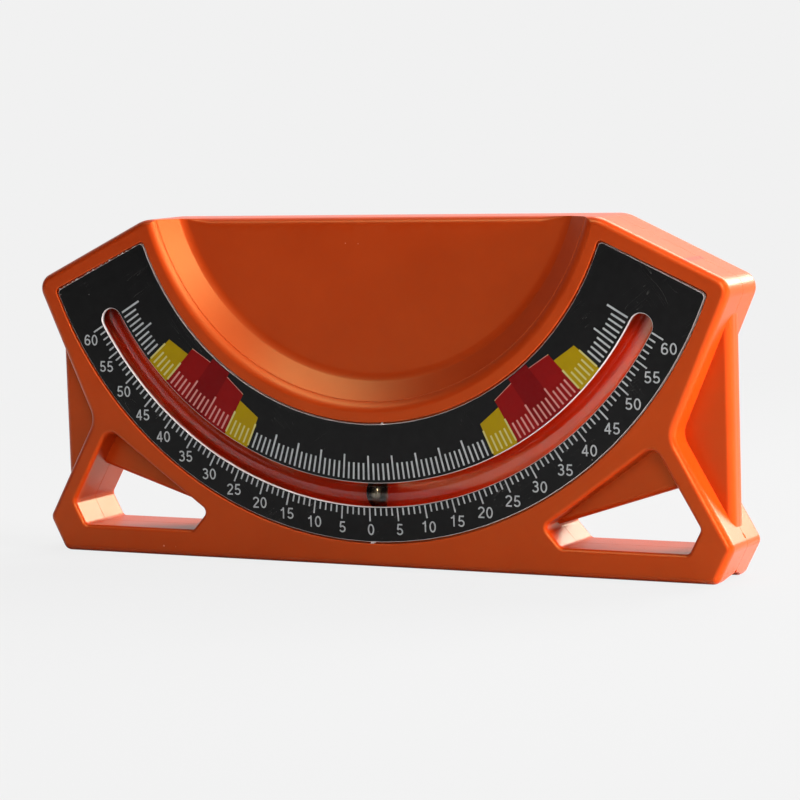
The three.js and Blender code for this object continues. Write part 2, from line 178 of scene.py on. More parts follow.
GATE_SHAPE = [(-0.32, -0.55), (0.30, -0.65), (0.45, 0.15), (0.12, 0.75), (-0.35, 0.45)]
GATE_STATIONS = ((-0.22, 0.55), (0.4, 1.25))

# The seat under the base, and the chip at its right end as (y, z over the seat) at two places along x
POLE_RADIUS = 9.0
POLE_SEAT_DEPTH = 1.1
SEAT_SIDES = 96
NICK_FEET = (-0.62, 0.58)
NICK_TOP = ((0.34, 0.62), (-0.2, 0.75))
NICK_DROP = 0.2
NICK_STATIONS = ((61.9, 1.0), (59.6, 0.45))

# The tube, its trough and the ball
TUBE_OUTER = 3.0
TUBE_WALL = 0.7
TUBE_GAP = 0.3
TUBE_END = 65.6
TUBE_EASE = 0.12
TROUGH_WALL = 1.5
TROUGH_GAP = 0.3
TROUGH_CORNER = 0.5
# The trough's painted light: how far under the arcs' centre it begins, how far in front of the plate's back,
# and how far past the tube's room
TROUGH_PAINTED_LIGHT_DROP = 18.0
TROUGH_PAINTED_LIGHT_START = 0.2
TROUGH_PAINTED_LIGHT_REACH = 0.05
RIB_THICKNESS = 1.5
RIB_PITCH = 13.0
RIB_COUNT = 9
RIB_REACH = 2.0
BALL_RADIUS = 2.0

# The plugs; a rib's four heights are its foot, rise, fall and end
PLUG_INSERT = 3.0
PLUG_FLANGE = 1.0
PLUG_FLANGE_RADIUS = 2.9
PLUG_FIT = 0.2
PLUG_EASE = 0.2
PLUG_UNDERCUT = 0.15
PLUG_GROOVE = 0.25
PLUG_NOSE = 0.3
PLUG_RIBS = 3
PLUG_FIRST_RIB = 0.35
PLUG_RIB_PITCH = 0.8
PLUG_RIB = (0.0, 0.2, 0.35, 0.55)
FLANGE_GAP = 0.1

# The screws
SHANK_RADIUS = 1.1
SHANK_GAP = 0.25
SCREW_LENGTH = 8.0
THREAD_TURNS = 9
THREAD_MARGIN = 0.8
THREAD_CORE = 0.78
THREAD_TAPER = 0.05
TIP_CORE = 0.45
NECK_RADIUS = 0.95
NECK_FLARE = 0.1
HEAD_RADIUS = 2.0
HEAD_HEIGHT = 1.3
HEAD_GAP = 0.3
HEAD_SINK = 1.5
HEAD_SKIRT = 0.45
HEAD_DOME = 0.83
HEAD_ROUND = 0.75
HEAD_TAPER = 0.02
HEAD_TURN = 78
DRIVE_HALF = 1.15
DRIVE_WIDTH = 0.3
DRIVE_DEPTH = 0.75
DRIVE_FOOT = 0.55
DRIVE_MOUTH = 1.1
SINK_LIP = 0.3
BOSS_RADIUS = 2.6
SCREWS = {
    "upper": (58.6, 45.4),
    "inner": (36.1, 35.2),
    "lower": (25.0, 4.9),
}
SEAT_GAP = 0.05
ADHESIVE_THICKNESS = 0.15
OVERRUN = 1.0
BEYOND = 70.0

# Places that follow from the sizes
FRONT_FACE = -HALF_DEPTH
PLATE_FRONT = FRONT_FACE + PLATE_DROP
PLATE_BACK = PLATE_FRONT + PLATE_THICKNESS
ADHESIVE_FRONT = PLATE_BACK + SEAT_GAP
POCKET_FLOOR = ADHESIVE_FRONT + ADHESIVE_THICKNESS + SEAT_GAP
TUBE_Y = PLATE_BACK + TUBE_GAP + TUBE_OUTER
BORE_RADIUS = TUBE_OUTER - TUBE_WALL
SLOT_OUTER_RADIUS = TUBE_PATH_RADIUS + SLOT_WIDTH / 2
SLOT_INNER_RADIUS = TUBE_PATH_RADIUS - SLOT_WIDTH / 2
CHANNEL_HALF = TUBE_OUTER + TUBE_GAP
HEAD_SEAT = HALF_DEPTH - HEAD_SINK
SCREW_SEAT = HEAD_SEAT + SEAT_GAP
SCREW_TIP = SCREW_SEAT - SCREW_LENGTH

# How finely round shapes are drawn
CORNER_STEPS = 8
FILLET_STEPS = 6
MOUTH_STEPS = 4
COVE_STEPS = 12
CROWN_STEPS = 10
ARC_STEP = 1.0
ROUND_SIDES = 32
PLUG_SIDES = 40
FINE_SIDES = 48
DISH_SIDES = 288
SHARP_ANGLE = 30
LEAST_ROUND = 0.05
LEAST_MITRE = 0.6

# The camera, the floor and its soft shadow (its reach in metres), and the lamps; a lamp is its name,
# place, size and power, and for some the light that it is kept out of
CAMERA_PLACE = (236.37, -432.36, 79.21)
CAMERA_TURN = (28.365, 6.054, -1.825)
FOCAL_PIXELS = 2988.065
PICTURE_PIXELS = 800
FILM_WIDTH = 36.0
FLOOR_HALF = 3000.0
FLOOR_DEPTH = 8.0
SHADOW_NEAR = 0.12
SHADOW_FAR = 0.30
SHADOW_PLAINNESS = 0.93
MIDDLE = (0, 0, 28)
LAMPS = [
    ("key", (878, -15, 215), (160, 160), 30.0, "mirrored"),
    ("high right", (736, -38, 544), (220, 220), 3.8, "mirrored"),
    ("wall sheen", (354, -694, 478), (300, 300), 3.8, "plain"),
    ("foot sheen", (-230, -530, 720), (460, 300), 3.8, "plain"),
    ("back right", (390, 675, 478), (500, 500), 14.0),
    ("back top", (0, 516, 765), (500, 500), 8.0),
    ("front right", (451, -695, 380), (190, 460), 3.1),
    ("front", (0, -846, 336), (700, 140), 0.2),
]


def arc_angle(length):
    """The angle that a length takes along the tube's path."""
    return length / TUBE_PATH_RADIUS / DEGREE


CHANNEL_END = TUBE_END + arc_angle(PLUG_FLANGE + 2 * TUBE_GAP)
TROUGH_END = CHANNEL_END + arc_angle(TROUGH_WALL)


def arc_point(radius, angle):
    """A point at an angle of the scale, as (x, z)."""
    return radius * math.sin(angle * DEGREE), ARC_HEIGHT - radius * math.cos(angle * DEGREE)


# Meshes


def closed_mesh(name, points, faces):
    """An object in metres from points in millimetres, with its faces pointing outwards."""
    mesh = bpy.data.meshes.new(name)
    mesh.from_pydata([Vector(p) * MM for p in points], [], faces)
    work = bmesh.new()
    work.from_mesh(mesh)
    bmesh.ops.recalc_face_normals(work, faces=work.faces)
    work.to_mesh(mesh)
    work.free()
    made = bpy.data.objects.new(name, mesh)
    bpy.context.scene.collection.objects.link(made)
    return made


def rings_mesh(name, rings, looped=False):
    """A closed body through rings of equal size, capped at both ends unless it closes on itself."""
    size = len(rings[0])
    points = [p for ring in rings for p in ring]
    faces = []
    for ring in range(len(rings) if looped else len(rings) - 1):
        start = ring * size
        after = (ring + 1) % len(rings) * size
        for i in range(size):
            j = (i + 1) % size
            faces.append((start + i, start + j, after + j, after + i))
    if not looped:
        faces.append(tuple(range(size)))
        faces.append(tuple(range(len(points) - size, len(points))))
    return closed_mesh(name, points, faces)


def rounded_outline(corners, inset=0.0):
    """Corners (x, z, radius) of an anticlockwise outline, moved inwards by inset and rounded."""
    count = len(corners)
    edges = []
    for i, corner in enumerate(corners):
        after = corners[(i + 1) % count]
        along = (Vector(after[:2]) - Vector(corner[:2])).normalized()
        inward = Vector((-along.y, along.x))
        edges.append((along, inward, Vector(corner[:2]) + inward * inset))
    points = []
    for i, corner in enumerate(corners):
        along, inward, start = edges[i - 1]
        next_along, _, next_start = edges[i]
        turn = along.cross(next_along)
        vertex = start + along * ((next_start - start).cross(next_along) / turn)
        convex = turn > 0
        radius = max(corner[2] - inset, corner[2] * LEAST_ROUND) if convex else corner[2] + inset
        turned = math.atan2(turn, along.dot(next_along))
        side = radius if convex else -radius
        centre = vertex - along * radius * math.tan(abs(turned) / 2) + inward * side
        spoke = inward * -side
        for step in range(CORNER_STEPS + 1):
            points.append(centre + Matrix.Rotation(turned * step / CORNER_STEPS, 2) @ spoke)
    return points


def mirrored(corners):
    """The same outline on the other side, still anticlockwise."""
    return [(-x, z, radius) for x, z, radius in reversed(corners)]


OUTLINE = RIGHT_OUTLINE + mirrored(RIGHT_OUTLINE)


def stacked(name, corners, stations):
    """A body through one outline at several depths; each station is (y, inset)."""
    rings = [[(p.x, y, p.y) for p in rounded_outline(corners, inset)] for y, inset in stations]
    return rings_mesh(name, rings)


def quarter_turn(steps=FILLET_STEPS):
    """A quarter circle as (how far across is gone, how far up is left), each from 0 to 1."""
    angles = [step / steps * math.pi / 2 for step in range(steps + 1)]
    return [(1 - math.cos(angle), 1 - math.sin(angle)) for angle in angles]


def quarter_round(y, direction, radius):
    """Stations of a rounded edge that starts fully inset at y and ends flush a radius further on."""
    stations = [(y + direction * radius * up, radius * across) for across, up in quarter_turn()]
    return stations[::-1] if direction > 0 else stations


def eased(before, tip, after, share):
    """A place on the soft bend round a tip."""
    return before * (1 - share) ** 2 + tip * 2 * share * (1 - share) + after * share ** 2


def band_ring(grow=0.0, y=0.0, inner=PLATE_INNER_RADIUS, outer=PLATE_OUTER_RADIUS,
              inner_end=PLATE_INNER_END, outer_end=PLATE_OUTER_END, corner=PLATE_CORNER, ripple=0.0):
    """The ring of an arc band with rounded corners, grown all round; ripple makes a cut edge uneven."""
    steps = math.ceil(2 * outer_end / ARC_STEP)
    inner, outer = inner - grow, outer + grow
    inner_end, outer_end = inner_end + arc_angle(grow), outer_end + arc_angle(grow)
    ends = []
    for side in (1, -1):
        low = Vector(arc_point(outer, side * outer_end))
        high = Vector(arc_point(inner, side * inner_end))
        ends.append((low, high, (high - low).normalized()))
    points = []

    def arc(radius, start, stop):
        for step in range(steps + 1):
            angle = start + (stop - start) * step / steps
            wave = sum(math.sin(angle * pace + radius * shift) for pace, shift in RIPPLE_WAVES)
            points.append(Vector(arc_point(radius + ripple * wave / len(RIPPLE_WAVES), angle)))

    def bend(before, tip, after):
        for step in range(1, CORNER_STEPS):
            points.append(eased(before, tip, after, step / CORNER_STEPS))

    cut_outer = corner / outer / DEGREE
    cut_inner = corner / inner / DEGREE
    (right_low, right_high, right_up), (left_low, left_high, left_up) = ends
    arc(outer, -outer_end + cut_outer, outer_end - cut_outer)
    bend(points[-1], right_low, right_low + right_up * corner)
    points.append(right_low + right_up * corner)
    points.append(right_high - right_up * corner)
    bend(points[-1], right_high, Vector(arc_point(inner, inner_end - cut_inner)))
    arc(inner, inner_end - cut_inner, -inner_end + cut_inner)
    bend(points[-1], left_high, left_high - left_up * corner)
    points.append(left_high - left_up * corner)
    points.append(left_low + left_up * corner)
    bend(points[-1], left_low, Vector(arc_point(outer, -outer_end + cut_outer)))
    return [(p.x, y, p.y) for p in points]


def band(name, stations, **sizes):
    """An arc band through several depths; each station is (y, grow)."""
    return rings_mesh(name, [band_ring(grow, y, **sizes) for y, grow in stations])


def trough_band(name, start, stop, wall=0.0, end=CHANNEL_END):
    """A straight-sided band along the tube's path, as wide as the tube's room or wider by a wall."""
    half = CHANNEL_HALF + wall
    return band(name, [(start, 0), (stop, 0)], inner=TUBE_PATH_RADIUS - half, outer=TUBE_PATH_RADIUS + half,
                inner_end=end, outer_end=end, corner=TROUGH_CORNER)


def slot_ring(grow, y):
    """The ring of the arc window with its round ends."""
    half = SLOT_WIDTH / 2 + grow
    steps = math.ceil(2 * SLOT_END / ARC_STEP)
    angles = [-SLOT_END + 2 * SLOT_END * i / steps for i in range(steps + 1)]
    ring = [arc_point(TUBE_PATH_RADIUS + half, angle) for angle in angles]
    ring += slot_cap(1, half)
    ring += [arc_point(TUBE_PATH_RADIUS - half, -angle) for angle in angles]
    ring += slot_cap(-1, half)
    return [(x, y, z) for x, z in ring]


def slot_cap(side, half):
    """The half circle at one end of the arc window."""
    x, z = arc_point(TUBE_PATH_RADIUS, side * SLOT_END)
    cap = []
    for step in range(1, 2 * CORNER_STEPS):
        turn = math.pi * step / (2 * CORNER_STEPS) + side * SLOT_END * DEGREE
        turn += math.pi / 2 if side < 0 else -math.pi / 2
        cap.append((x + half * math.cos(turn), z + half * math.sin(turn)))
    return cap


def lathed(name, profile, x, z, sides=ROUND_SIDES):
    """A body of revolution about a line along Y; the profile's points are (radius, y), from axis to axis."""
    points = []
    rows = []
    for radius, y in profile:
        if radius == 0:
            rows.append([len(points)] * sides)
            points.append((x, y, z))
            continue
        rows.append([len(points) + i for i in range(sides)])
        for i in range(sides):
            angle = 2 * math.pi * i / sides
            points.append((x + radius * math.cos(angle), y, z + radius * math.sin(angle)))
    faces = []
    for row, after in zip(rows, rows[1:]):
        for i in range(sides):
            j = (i + 1) % sides
            corners = [row[i], row[j], after[j], after[i]]
            faces.append(tuple(dict.fromkeys(corners)))
    return closed_mesh(name, points, faces)


def cylinder(name, radius, y0, y1, place):
    """A round bar along Y between two depths."""
    return lathed(name, [(0, y0), (radius, y0), (radius, y1), (0, y1)], place[0], place[1])


def path_ring(radius, angle, sides):
    """A ring of the tube's section at an angle of its path."""
    turn = angle * DEGREE
    out = Vector((math.sin(turn), 0, -math.cos(turn)))
    x, z = arc_point(TUBE_PATH_RADIUS, angle)
    ring = []
    for i in range(sides):
        around = 2 * math.pi * i / sides
        point = Vector((x, TUBE_Y, z)) + out * radius * math.cos(around)
        ring.append((point.x, point.y + radius * math.sin(around), point.z))
    return ring


def swept_round(name, radius, end):
    """A round bar along the tube's path."""
    steps = math.ceil(2 * end / ARC_STEP)
    angles = [-end + 2 * end * i / steps for i in range(steps + 1)]
    return rings_mesh(name, [path_ring(radius, angle, ROUND_SIDES) for angle in angles])


def block(name, low, high):
    """A box between its lowest and its highest corner."""
    (x0, y0, z0), (x1, y1, z1) = low, high
    front = [(x0, y0, z0), (x1, y0, z0), (x1, y0, z1), (x0, y0, z1)]
    return rings_mesh(name, [front, [(x, y1, z) for x, _, z in front]])


def plain_mesh(made):
    """Turns what an object's modifiers make into its own plain mesh."""
    graph = bpy.context.evaluated_depsgraph_get()
    mesh = bpy.data.meshes.new_from_object(made.evaluated_get(graph), depsgraph=graph)
    made.modifiers.clear()
    made.data = mesh
    return made


def worked(base, *steps):
    """Joins, cuts or trims a body with others, each step ("UNION", body), and uses the others up."""
    for operation, tool in steps:
        cut = base.modifiers.new(operation, "BOOLEAN")
        cut.operation = operation
        cut.solver = "MANIFOLD"
        cut.object = tool
    plain_mesh(base)
    for tool in {tool for _, tool in steps}:
        bpy.data.objects.remove(tool)
    return base


def less(*tools):
    """Steps that cut bodies away."""
    return [("DIFFERENCE", tool) for tool in tools]


def plus(*tools):
    """Steps that join bodies on."""
    return [("UNION", tool) for tool in tools]


def smoothed(made):
    """Smooth faces with sharp edges kept, and normals weighted so that flat faces stay flat."""
    mesh = made.data
    for polygon in mesh.polygons:
        polygon.use_smooth = True
    mesh.set_sharp_from_angle(angle=SHARP_ANGLE * DEGREE)
    weigh = made.modifiers.new("flat faces stay flat", "WEIGHTED_NORMAL")
    weigh.keep_sharp = True
    return made


# The housing


def screw_places():
    """Each screw's name with its (x, z)."""
    return {f"{row}_{name}": (side * x, z) for row, (x, z) in SCREWS.items() for name, side in SIDES}


def at_screws(name, radius, start, stop):
    """The same round body at every screw."""
    return [cylinder(name, radius, start, stop, place) for place in screw_places().values()]


def webs():
    """The thin webs at mid depth outside the waist, with a fine groove along the joint."""
    half = WEB_THICKNESS / 2
    stations = quarter_round(-half, 1, WEB_EDGE) + quarter_round(half, -1, WEB_EDGE)
    stations = sorted(stations + [(-SEAM_GROOVE, 0), (0, SEAM_GROOVE), (SEAM_GROOVE, 0)])
    return plus(stacked("web right", WEB, stations), stacked("web left", mirrored(WEB), stations))


def window_cut(corners):
    """The strap window right through, with soft mouths and the joint's fine groove inside."""
    soft = [(FRONT_FACE + WINDOW_LIP * across, -WINDOW_LIP * up) for across, up in quarter_turn()]
    stations = [(FRONT_FACE - OVERRUN, -WINDOW_LIP)] + soft + [(-SEAM_GROOVE, 0), (0, -SEAM_GROOVE)]
    stations += [(-y, inset) for y, inset in reversed(stations[:-1])]
    return stacked("window", corners, stations)


def panel(corners):
    """The sheet at mid depth that closes the upper part of a strap window."""
    half = WEB_THICKNESS / 2
    stations = sorted(quarter_round(-half, 1, PANEL_EDGE) + quarter_round(half, -1, PANEL_EDGE))
    return stacked("panel", corners, stations)


def windows():
    """What both strap windows take away: right through below, and down to the panel above."""
    holes = []
    for side in (list, mirrored):
        holes.append(worked(window_cut(side(STRAP_WINDOW)), *less(panel(side(PANEL)))))
    return holes


def window_walls():
    """The walls round the strap windows, which join the two faces of the housing."""
    stations = [(FRONT_FACE, -WINDOW_WALL), (HALF_DEPTH, -WINDOW_WALL)]
    return [stacked("window wall", side(STRAP_WINDOW), stations) for side in (list, mirrored)]


def dish(growth=0.0):
    """The dish at the top, or with growth the space that its wall takes."""
    floor_y = FRONT_FACE + DISH_DEPTH + growth
    profile = [(0, floor_y)]
    if growth:
        floor_radius = DISH_RADIUS - DISH_SLOPE + growth
        profile += [(floor_radius - DISH_COVE, floor_y), (floor_radius, floor_y - DISH_COVE_DROP)]
        profile += [(DISH_RADIUS + growth, FRONT_FACE), (DISH_RADIUS + growth, FRONT_FACE - OVERRUN)]
    else:
        profile += dish_wall(floor_y)
        profile.append((DISH_RADIUS + DISH_CROWN, FRONT_FACE - OVERRUN))
    profile.append((0, FRONT_FACE - OVERRUN))
    return lathed("dish", profile, 0, ARC_HEIGHT, DISH_SIDES)


def dish_wall(floor_y):
    """From the floor through a short cove and the flat wall to the crown beside the plate.

    The wall ends in a fine raised line at both its edges, where the mould's inserts met.
    """
    lip = Vector((DISH_RADIUS, FRONT_FACE + DISH_CROWN_DROP))
    foot = lip + Vector((-1, DISH_WALL_TILT)).normalized() * DISH_WALL_RUN
    bend = Vector((foot.x - (floor_y - foot.y) / DISH_COVE_TILT, floor_y))
    start = bend - Vector((foot.x - bend.x, 0))
    points = [(radius, floor_y) for radius in DISH_RINGS]
    points += [tuple(eased(start, bend, foot, step / COVE_STEPS)) for step in range(COVE_STEPS + 1)]
    along = (lip - foot).normalized()
    points += witness_line(foot, along, FOOT_LINE_HALF, FOOT_LINE_RISE)
    points += witness_line(lip - along * 2 * LIP_LINE_HALF, along, LIP_LINE_HALF, LIP_LINE_RISE)
    for step in range(1, CROWN_STEPS + 1):
        left = 1 - step / CROWN_STEPS
        points.append((DISH_RADIUS + DISH_CROWN * (1 - left), FRONT_FACE + DISH_CROWN_DROP * left * left))
    return points


def witness_line(start, along, half, rise):
    """A fine ridge across a slope, a bit proud of it on the side of the plate's face."""
    out = Vector((along.y, -along.x))
    return [tuple(start), tuple(start + along * half + out * rise), tuple(start + along * 2 * half)]


def dish_top_round():
    """What is taken off the floor's edge at the top of the dish, fading out towards its sides."""
    floor_y = FRONT_FACE + DISH_DEPTH
    full = DISH_TOP_HALF - DISH_TOP_FADE
    right = [(full + DISH_TOP_FADE * far, max(DISH_TOP_LEAST, 1 - far)) for far in DISH_TOP_STOPS]
    rings = []
    for x, share in [(-x, share) for x, share in reversed(right)] + right:
        radius = DISH_TOP_ROUND * share
        ring = [(x, floor_y - OVERRUN / 2, HEIGHT + OVERRUN / 2), (x, floor_y - OVERRUN / 2, HEIGHT - radius)]
        ring += [(x, floor_y + radius * across, HEIGHT - radius * up) for across, up in quarter_turn()]
        ring.append((x, floor_y + radius, HEIGHT + OVERRUN / 2))
        rings.append(ring)
    return rings_mesh("dish top", rings)


def gate_mark():
    """A small torn scar on the joint at the right foot's side, where the plastic was let in."""
    foot, waist = (Vector((x, 0, z)) for x, z, _ in RIGHT_OUTLINE[1:3])
    upwards = (waist - foot).normalized()
    outwards = Vector((upwards.z, 0, -upwards.x))
    rings = []
    for depth, size in GATE_STATIONS:
        middle = foot + upwards * GATE_RISE + outwards * depth
        rings.append([middle + Vector((0, y * size, 0)) + upwards * up * size for y, up in GATE_SHAPE])
    return rings_mesh("gate mark", rings)


def seat_nick():
    """A chipped corner of the pole seat at the joint, at its right end."""
    rings = []
    for x, size in NICK_STATIONS:
        ring = [(x, y * size, POLE_SEAT_DEPTH - NICK_DROP) for y in NICK_FEET]
        ring += [(x, y * size, POLE_SEAT_DEPTH + up * size) for y, up in NICK_TOP]
        rings.append(ring)
    return rings_mesh("seat nick", rings)


def pole_seat():
    """The shallow round seat along the base."""
    turns = [2 * math.pi * step / SEAT_SIDES for step in range(SEAT_SIDES)]
    ring = [(POLE_RADIUS * math.sin(turn), POLE_SEAT_DEPTH - POLE_RADIUS * (1 - math.cos(turn)))
            for turn in turns]
    return rings_mesh("pole seat", [[(x, y, z) for y, z in ring] for x in (-BEYOND, BEYOND)])


def half_space(y0, y1):
    """All that lies between two depths."""
    return block("half", (-BEYOND, y0, -BEYOND), (BEYOND, y1, BEYOND))


def front_housing():
    """The front half: a shell with the plate's pocket, the tube's trough, the dish and screw bosses."""
    stations = sorted(quarter_round(FRONT_FACE, 1, EDGE_FILLET)) + [(-SEAM_GROOVE, 0), (0, SEAM_GROOVE)]
    body = stacked("housing_front", OUTLINE, stations + [(OVERRUN, SEAM_GROOVE)])
    hollow = stacked("hollow", OUTLINE, [(FRONT_FACE + WALL, WALL), (2 * OVERRUN, WALL)])
    backing = band("backing", [(FRONT_FACE, WALL), (POCKET_FLOOR + PLATE_FLOOR, WALL)], corner=TROUGH_CORNER)
    trough = trough_band("trough", FRONT_FACE, 3 * OVERRUN, TROUGH_WALL, TROUGH_END)
    bosses = at_screws("boss", BOSS_RADIUS, FRONT_FACE, 3 * OVERRUN)
    hollow = worked(hollow, *less(dish(DISH_WALL), backing, trough, *window_walls(), *bosses))
    channel = trough_band("channel", POCKET_FLOOR - OVERRUN, TUBE_Y)
    pilots = at_screws("pilot", SHANK_RADIUS + SHANK_GAP, SCREW_TIP - HEAD_GAP, 3 * OVERRUN)
    shell = worked(body, *webs(), *less(hollow), ("INTERSECT", half_space(FRONT_FACE - OVERRUN, 0)))
    tube_space = swept_round("tube space", CHANNEL_HALF, CHANNEL_END)
    cuts = less(pocket(), channel, tube_space, dish(), dish_top_round(), pole_seat(), *windows(), *pilots)
    cuts += less(gate_mark(), seat_nick())
    return worked(shell, *plus(trough_back()), *cuts)


def pocket():
    """The recess of the plate, with a softened mouth."""
    stations = [(FRONT_FACE - OVERRUN, PLATE_CLEARANCE + POCKET_MOUTH)]
    for across, up in quarter_turn(MOUTH_STEPS):
        stations.append((FRONT_FACE + POCKET_MOUTH * across, PLATE_CLEARANCE + POCKET_MOUTH * up))
    return band("pocket", stations + [(POCKET_FLOOR, PLATE_CLEARANCE)])


def trough_back():
    """The round back of the trough, which reaches into the rear half behind the tube."""
    back = swept_round("trough back", CHANNEL_HALF + TROUGH_WALL, TROUGH_END)
    return worked(back, ("INTERSECT", half_space(-SEAT_GAP, HALF_DEPTH)))


def rear_housing():
    """The rear half: a shell with ribs behind the trough and sunk holes for the screws."""
    stations = [(-OVERRUN, SEAM_GROOVE), (0, SEAM_GROOVE), (SEAM_GROOVE, 0)]
    stations += sorted(quarter_round(HALF_DEPTH, -1, EDGE_FILLET))
    body = stacked("housing_rear", OUTLINE, stations)
    hollow = stacked("hollow", OUTLINE, [(-2 * OVERRUN, WALL), (HALF_DEPTH - WALL, WALL)])
    bosses = at_screws("boss", BOSS_RADIUS + SHANK_GAP, -3 * OVERRUN, HALF_DEPTH)
    hollow = worked(hollow, *less(*window_walls(), *bosses, *ribs()))
    holes = at_screws("hole", SHANK_RADIUS + SHANK_GAP, -3 * OVERRUN, HALF_DEPTH)
    sinks = [sink(place) for place in screw_places().values()]
    trough_space = swept_round("trough space", CHANNEL_HALF + TROUGH_WALL + TROUGH_GAP,
                               TROUGH_END + arc_angle(TROUGH_GAP))
    steps = webs() + less(hollow, trough_space, pole_seat(), gate_mark(), seat_nick())
    steps += less(*windows(), *holes, *sinks)
    return worked(body, *steps, ("INTERSECT", half_space(0, HALF_DEPTH + OVERRUN)))


def sink(place):
    """The counterbore of a screw, with a softened mouth."""
    radius = HEAD_RADIUS + HEAD_GAP
    profile = [(0, HEAD_SEAT), (radius, HEAD_SEAT), (radius, HALF_DEPTH - SINK_LIP),
               (radius + SINK_LIP * 0.3, HALF_DEPTH - SINK_LIP * 0.4), (radius + SINK_LIP, HALF_DEPTH),
               (radius + SINK_LIP, HALF_DEPTH + OVERRUN), (0, HALF_DEPTH + OVERRUN)]
    return lathed("sink", profile, *place, FINE_SIDES)


def ribs():
    """Radial ribs of the rear half that back the trough."""
    made = []
    inner = TUBE_PATH_RADIUS - CHANNEL_HALF - RIB_REACH
    outer = TUBE_PATH_RADIUS + CHANNEL_HALF + RIB_REACH
    for i in range(RIB_COUNT):
        angle = (i - (RIB_COUNT - 1) / 2) * RIB_PITCH
        across = Vector((math.cos(angle * DEGREE), math.sin(angle * DEGREE))) * RIB_THICKNESS / 2
        low, high = Vector(arc_point(outer, angle)), Vector(arc_point(inner, angle))
        ring = [low - across, low + across, high + across, high - across]
        made.append(rings_mesh("rib", [[(p.x, y, p.y) for p in ring] for y in (0, HALF_DEPTH)]))
    return made


# The plate and its print


def scale_plate():
    """The printed plate: a dark face inside a pale cut edge, and the arc window."""
    edge = [(PLATE_FRONT + PRINT_CHAMFER * far, PRINT_MARGIN * left) for far, left in CUT_EDGE]
    stations = [(y, -grow) for y, grow in edge] + [(PLATE_BACK, 0)]
    plate = band("scale_plate_printed", stations, ripple=PLATE_RIPPLE)
    slot = [(PLATE_FRONT - OVERRUN, PRINT_MARGIN)] + edge + [(PLATE_BACK + OVERRUN, 0)]
    plate = worked(plate, *less(rings_mesh("slot", [slot_ring(grow, y) for y, grow in slot])))
    mesh = plate.data
    mesh.materials.clear()
    mesh.materials.append(print_black)
    mesh.materials.append(cut_white)
    for polygon in mesh.polygons:
        polygon.material_index = 0 if polygon.normal.y < -FLAT_ENOUGH else 1
    return plate


def gathered(name, parts, material):
    """One body out of many small closed ones, each given as its points and faces."""
    points, faces = [], []
    for body, sides in parts:
        faces += [tuple(len(points) + corner for corner in side) for side in sides]
        points += body
    made = closed_mesh(name, points, faces)
    made.data.materials.append(material)
    return made


def plate_tabs():
    """Two slivers of the pale core left where the plate was broken out of its sheet."""
    made = []
    for name, angle, radius, shape in TABS:
        x, z = arc_point(radius, angle)
        depths = (PLATE_FRONT + PRINT_SINK, PLATE_FRONT + TAB_DEPTH)
        tab = rings_mesh(f"plate_tab_{name}", [[(x + dx, y, z - dz) for dx, dz in shape] for y in depths])
        tab.data.materials.append(cut_white)
        made.append(tab)
    return made


def plate_end_chips():
    """Tiny pale chips along the plate's left end, where it was cut roughly."""
    low = Vector(arc_point(PLATE_OUTER_RADIUS, -PLATE_OUTER_END))
    high = Vector(arc_point(PLATE_INNER_RADIUS, -PLATE_INNER_END))
    along = (high - low).normalized()
    out = Vector((-along.y, along.x))
    chips = []
    for i in range(CHIP_COUNT):
        wave = math.sin(i * 2.4) + math.sin(i * 5.1 + 1)
        share = CHIP_INSET + (1 - 2 * CHIP_INSET) * (i + 0.4 * math.sin(i * 1.7)) / CHIP_COUNT
        spot = low.lerp(high, share) + out * CHIP_STRAY * (1 + wave)
        size = CHIP_SIZE * (1 + wave / 2)
        corners = [spot - along * size, spot - out * size * 0.7, spot + along * size * 1.5, spot + out * size]
        chips.append(prism_at(corners, PLATE_FRONT - PRINT_SINK, PLATE_FRONT + CHIP_DEPTH))
    return gathered("plate_end_chips", chips, cut_white)


def prism_at(corners, front, back):
    """Points and faces of a small prism with four corners in X and Z."""
    body = [(p.x, y, p.y) for y in (front, back) for p in corners]
    faces = [(0, 1, 2, 3), (7, 6, 5, 4)] + [(i, (i + 1) % 4, 4 + (i + 1) % 4, 4 + i) for i in range(4)]
    return body, faces


def colour_band(name, start, stop, start_radius, stop_radius, side, paint):
    """One printed field beside the inner marks, between two angles."""
    outer = SLOT_INNER_RADIUS - PRINT_MARGIN - FIELD_GAP
    ring = [arc_point(outer, start + (stop - start) * i / FIELD_STEPS) for i in range(FIELD_STEPS + 1)]
    steps = FIELD_STEPS if start_radius == stop_radius else 1
    for i in range(steps + 1):
        share = 1 - i / steps
        radius = start_radius + (stop_radius - start_radius) * share
        ring.append(arc_point(radius, start + (stop - start) * share))
    depths = (PLATE_FRONT - PRINT_LIFT, PLATE_FRONT + PRINT_SINK)
    field = rings_mesh(name, [[(side * x, y, z) for x, z in ring] for y in depths])
    field.data.materials.append(paint)
    return field


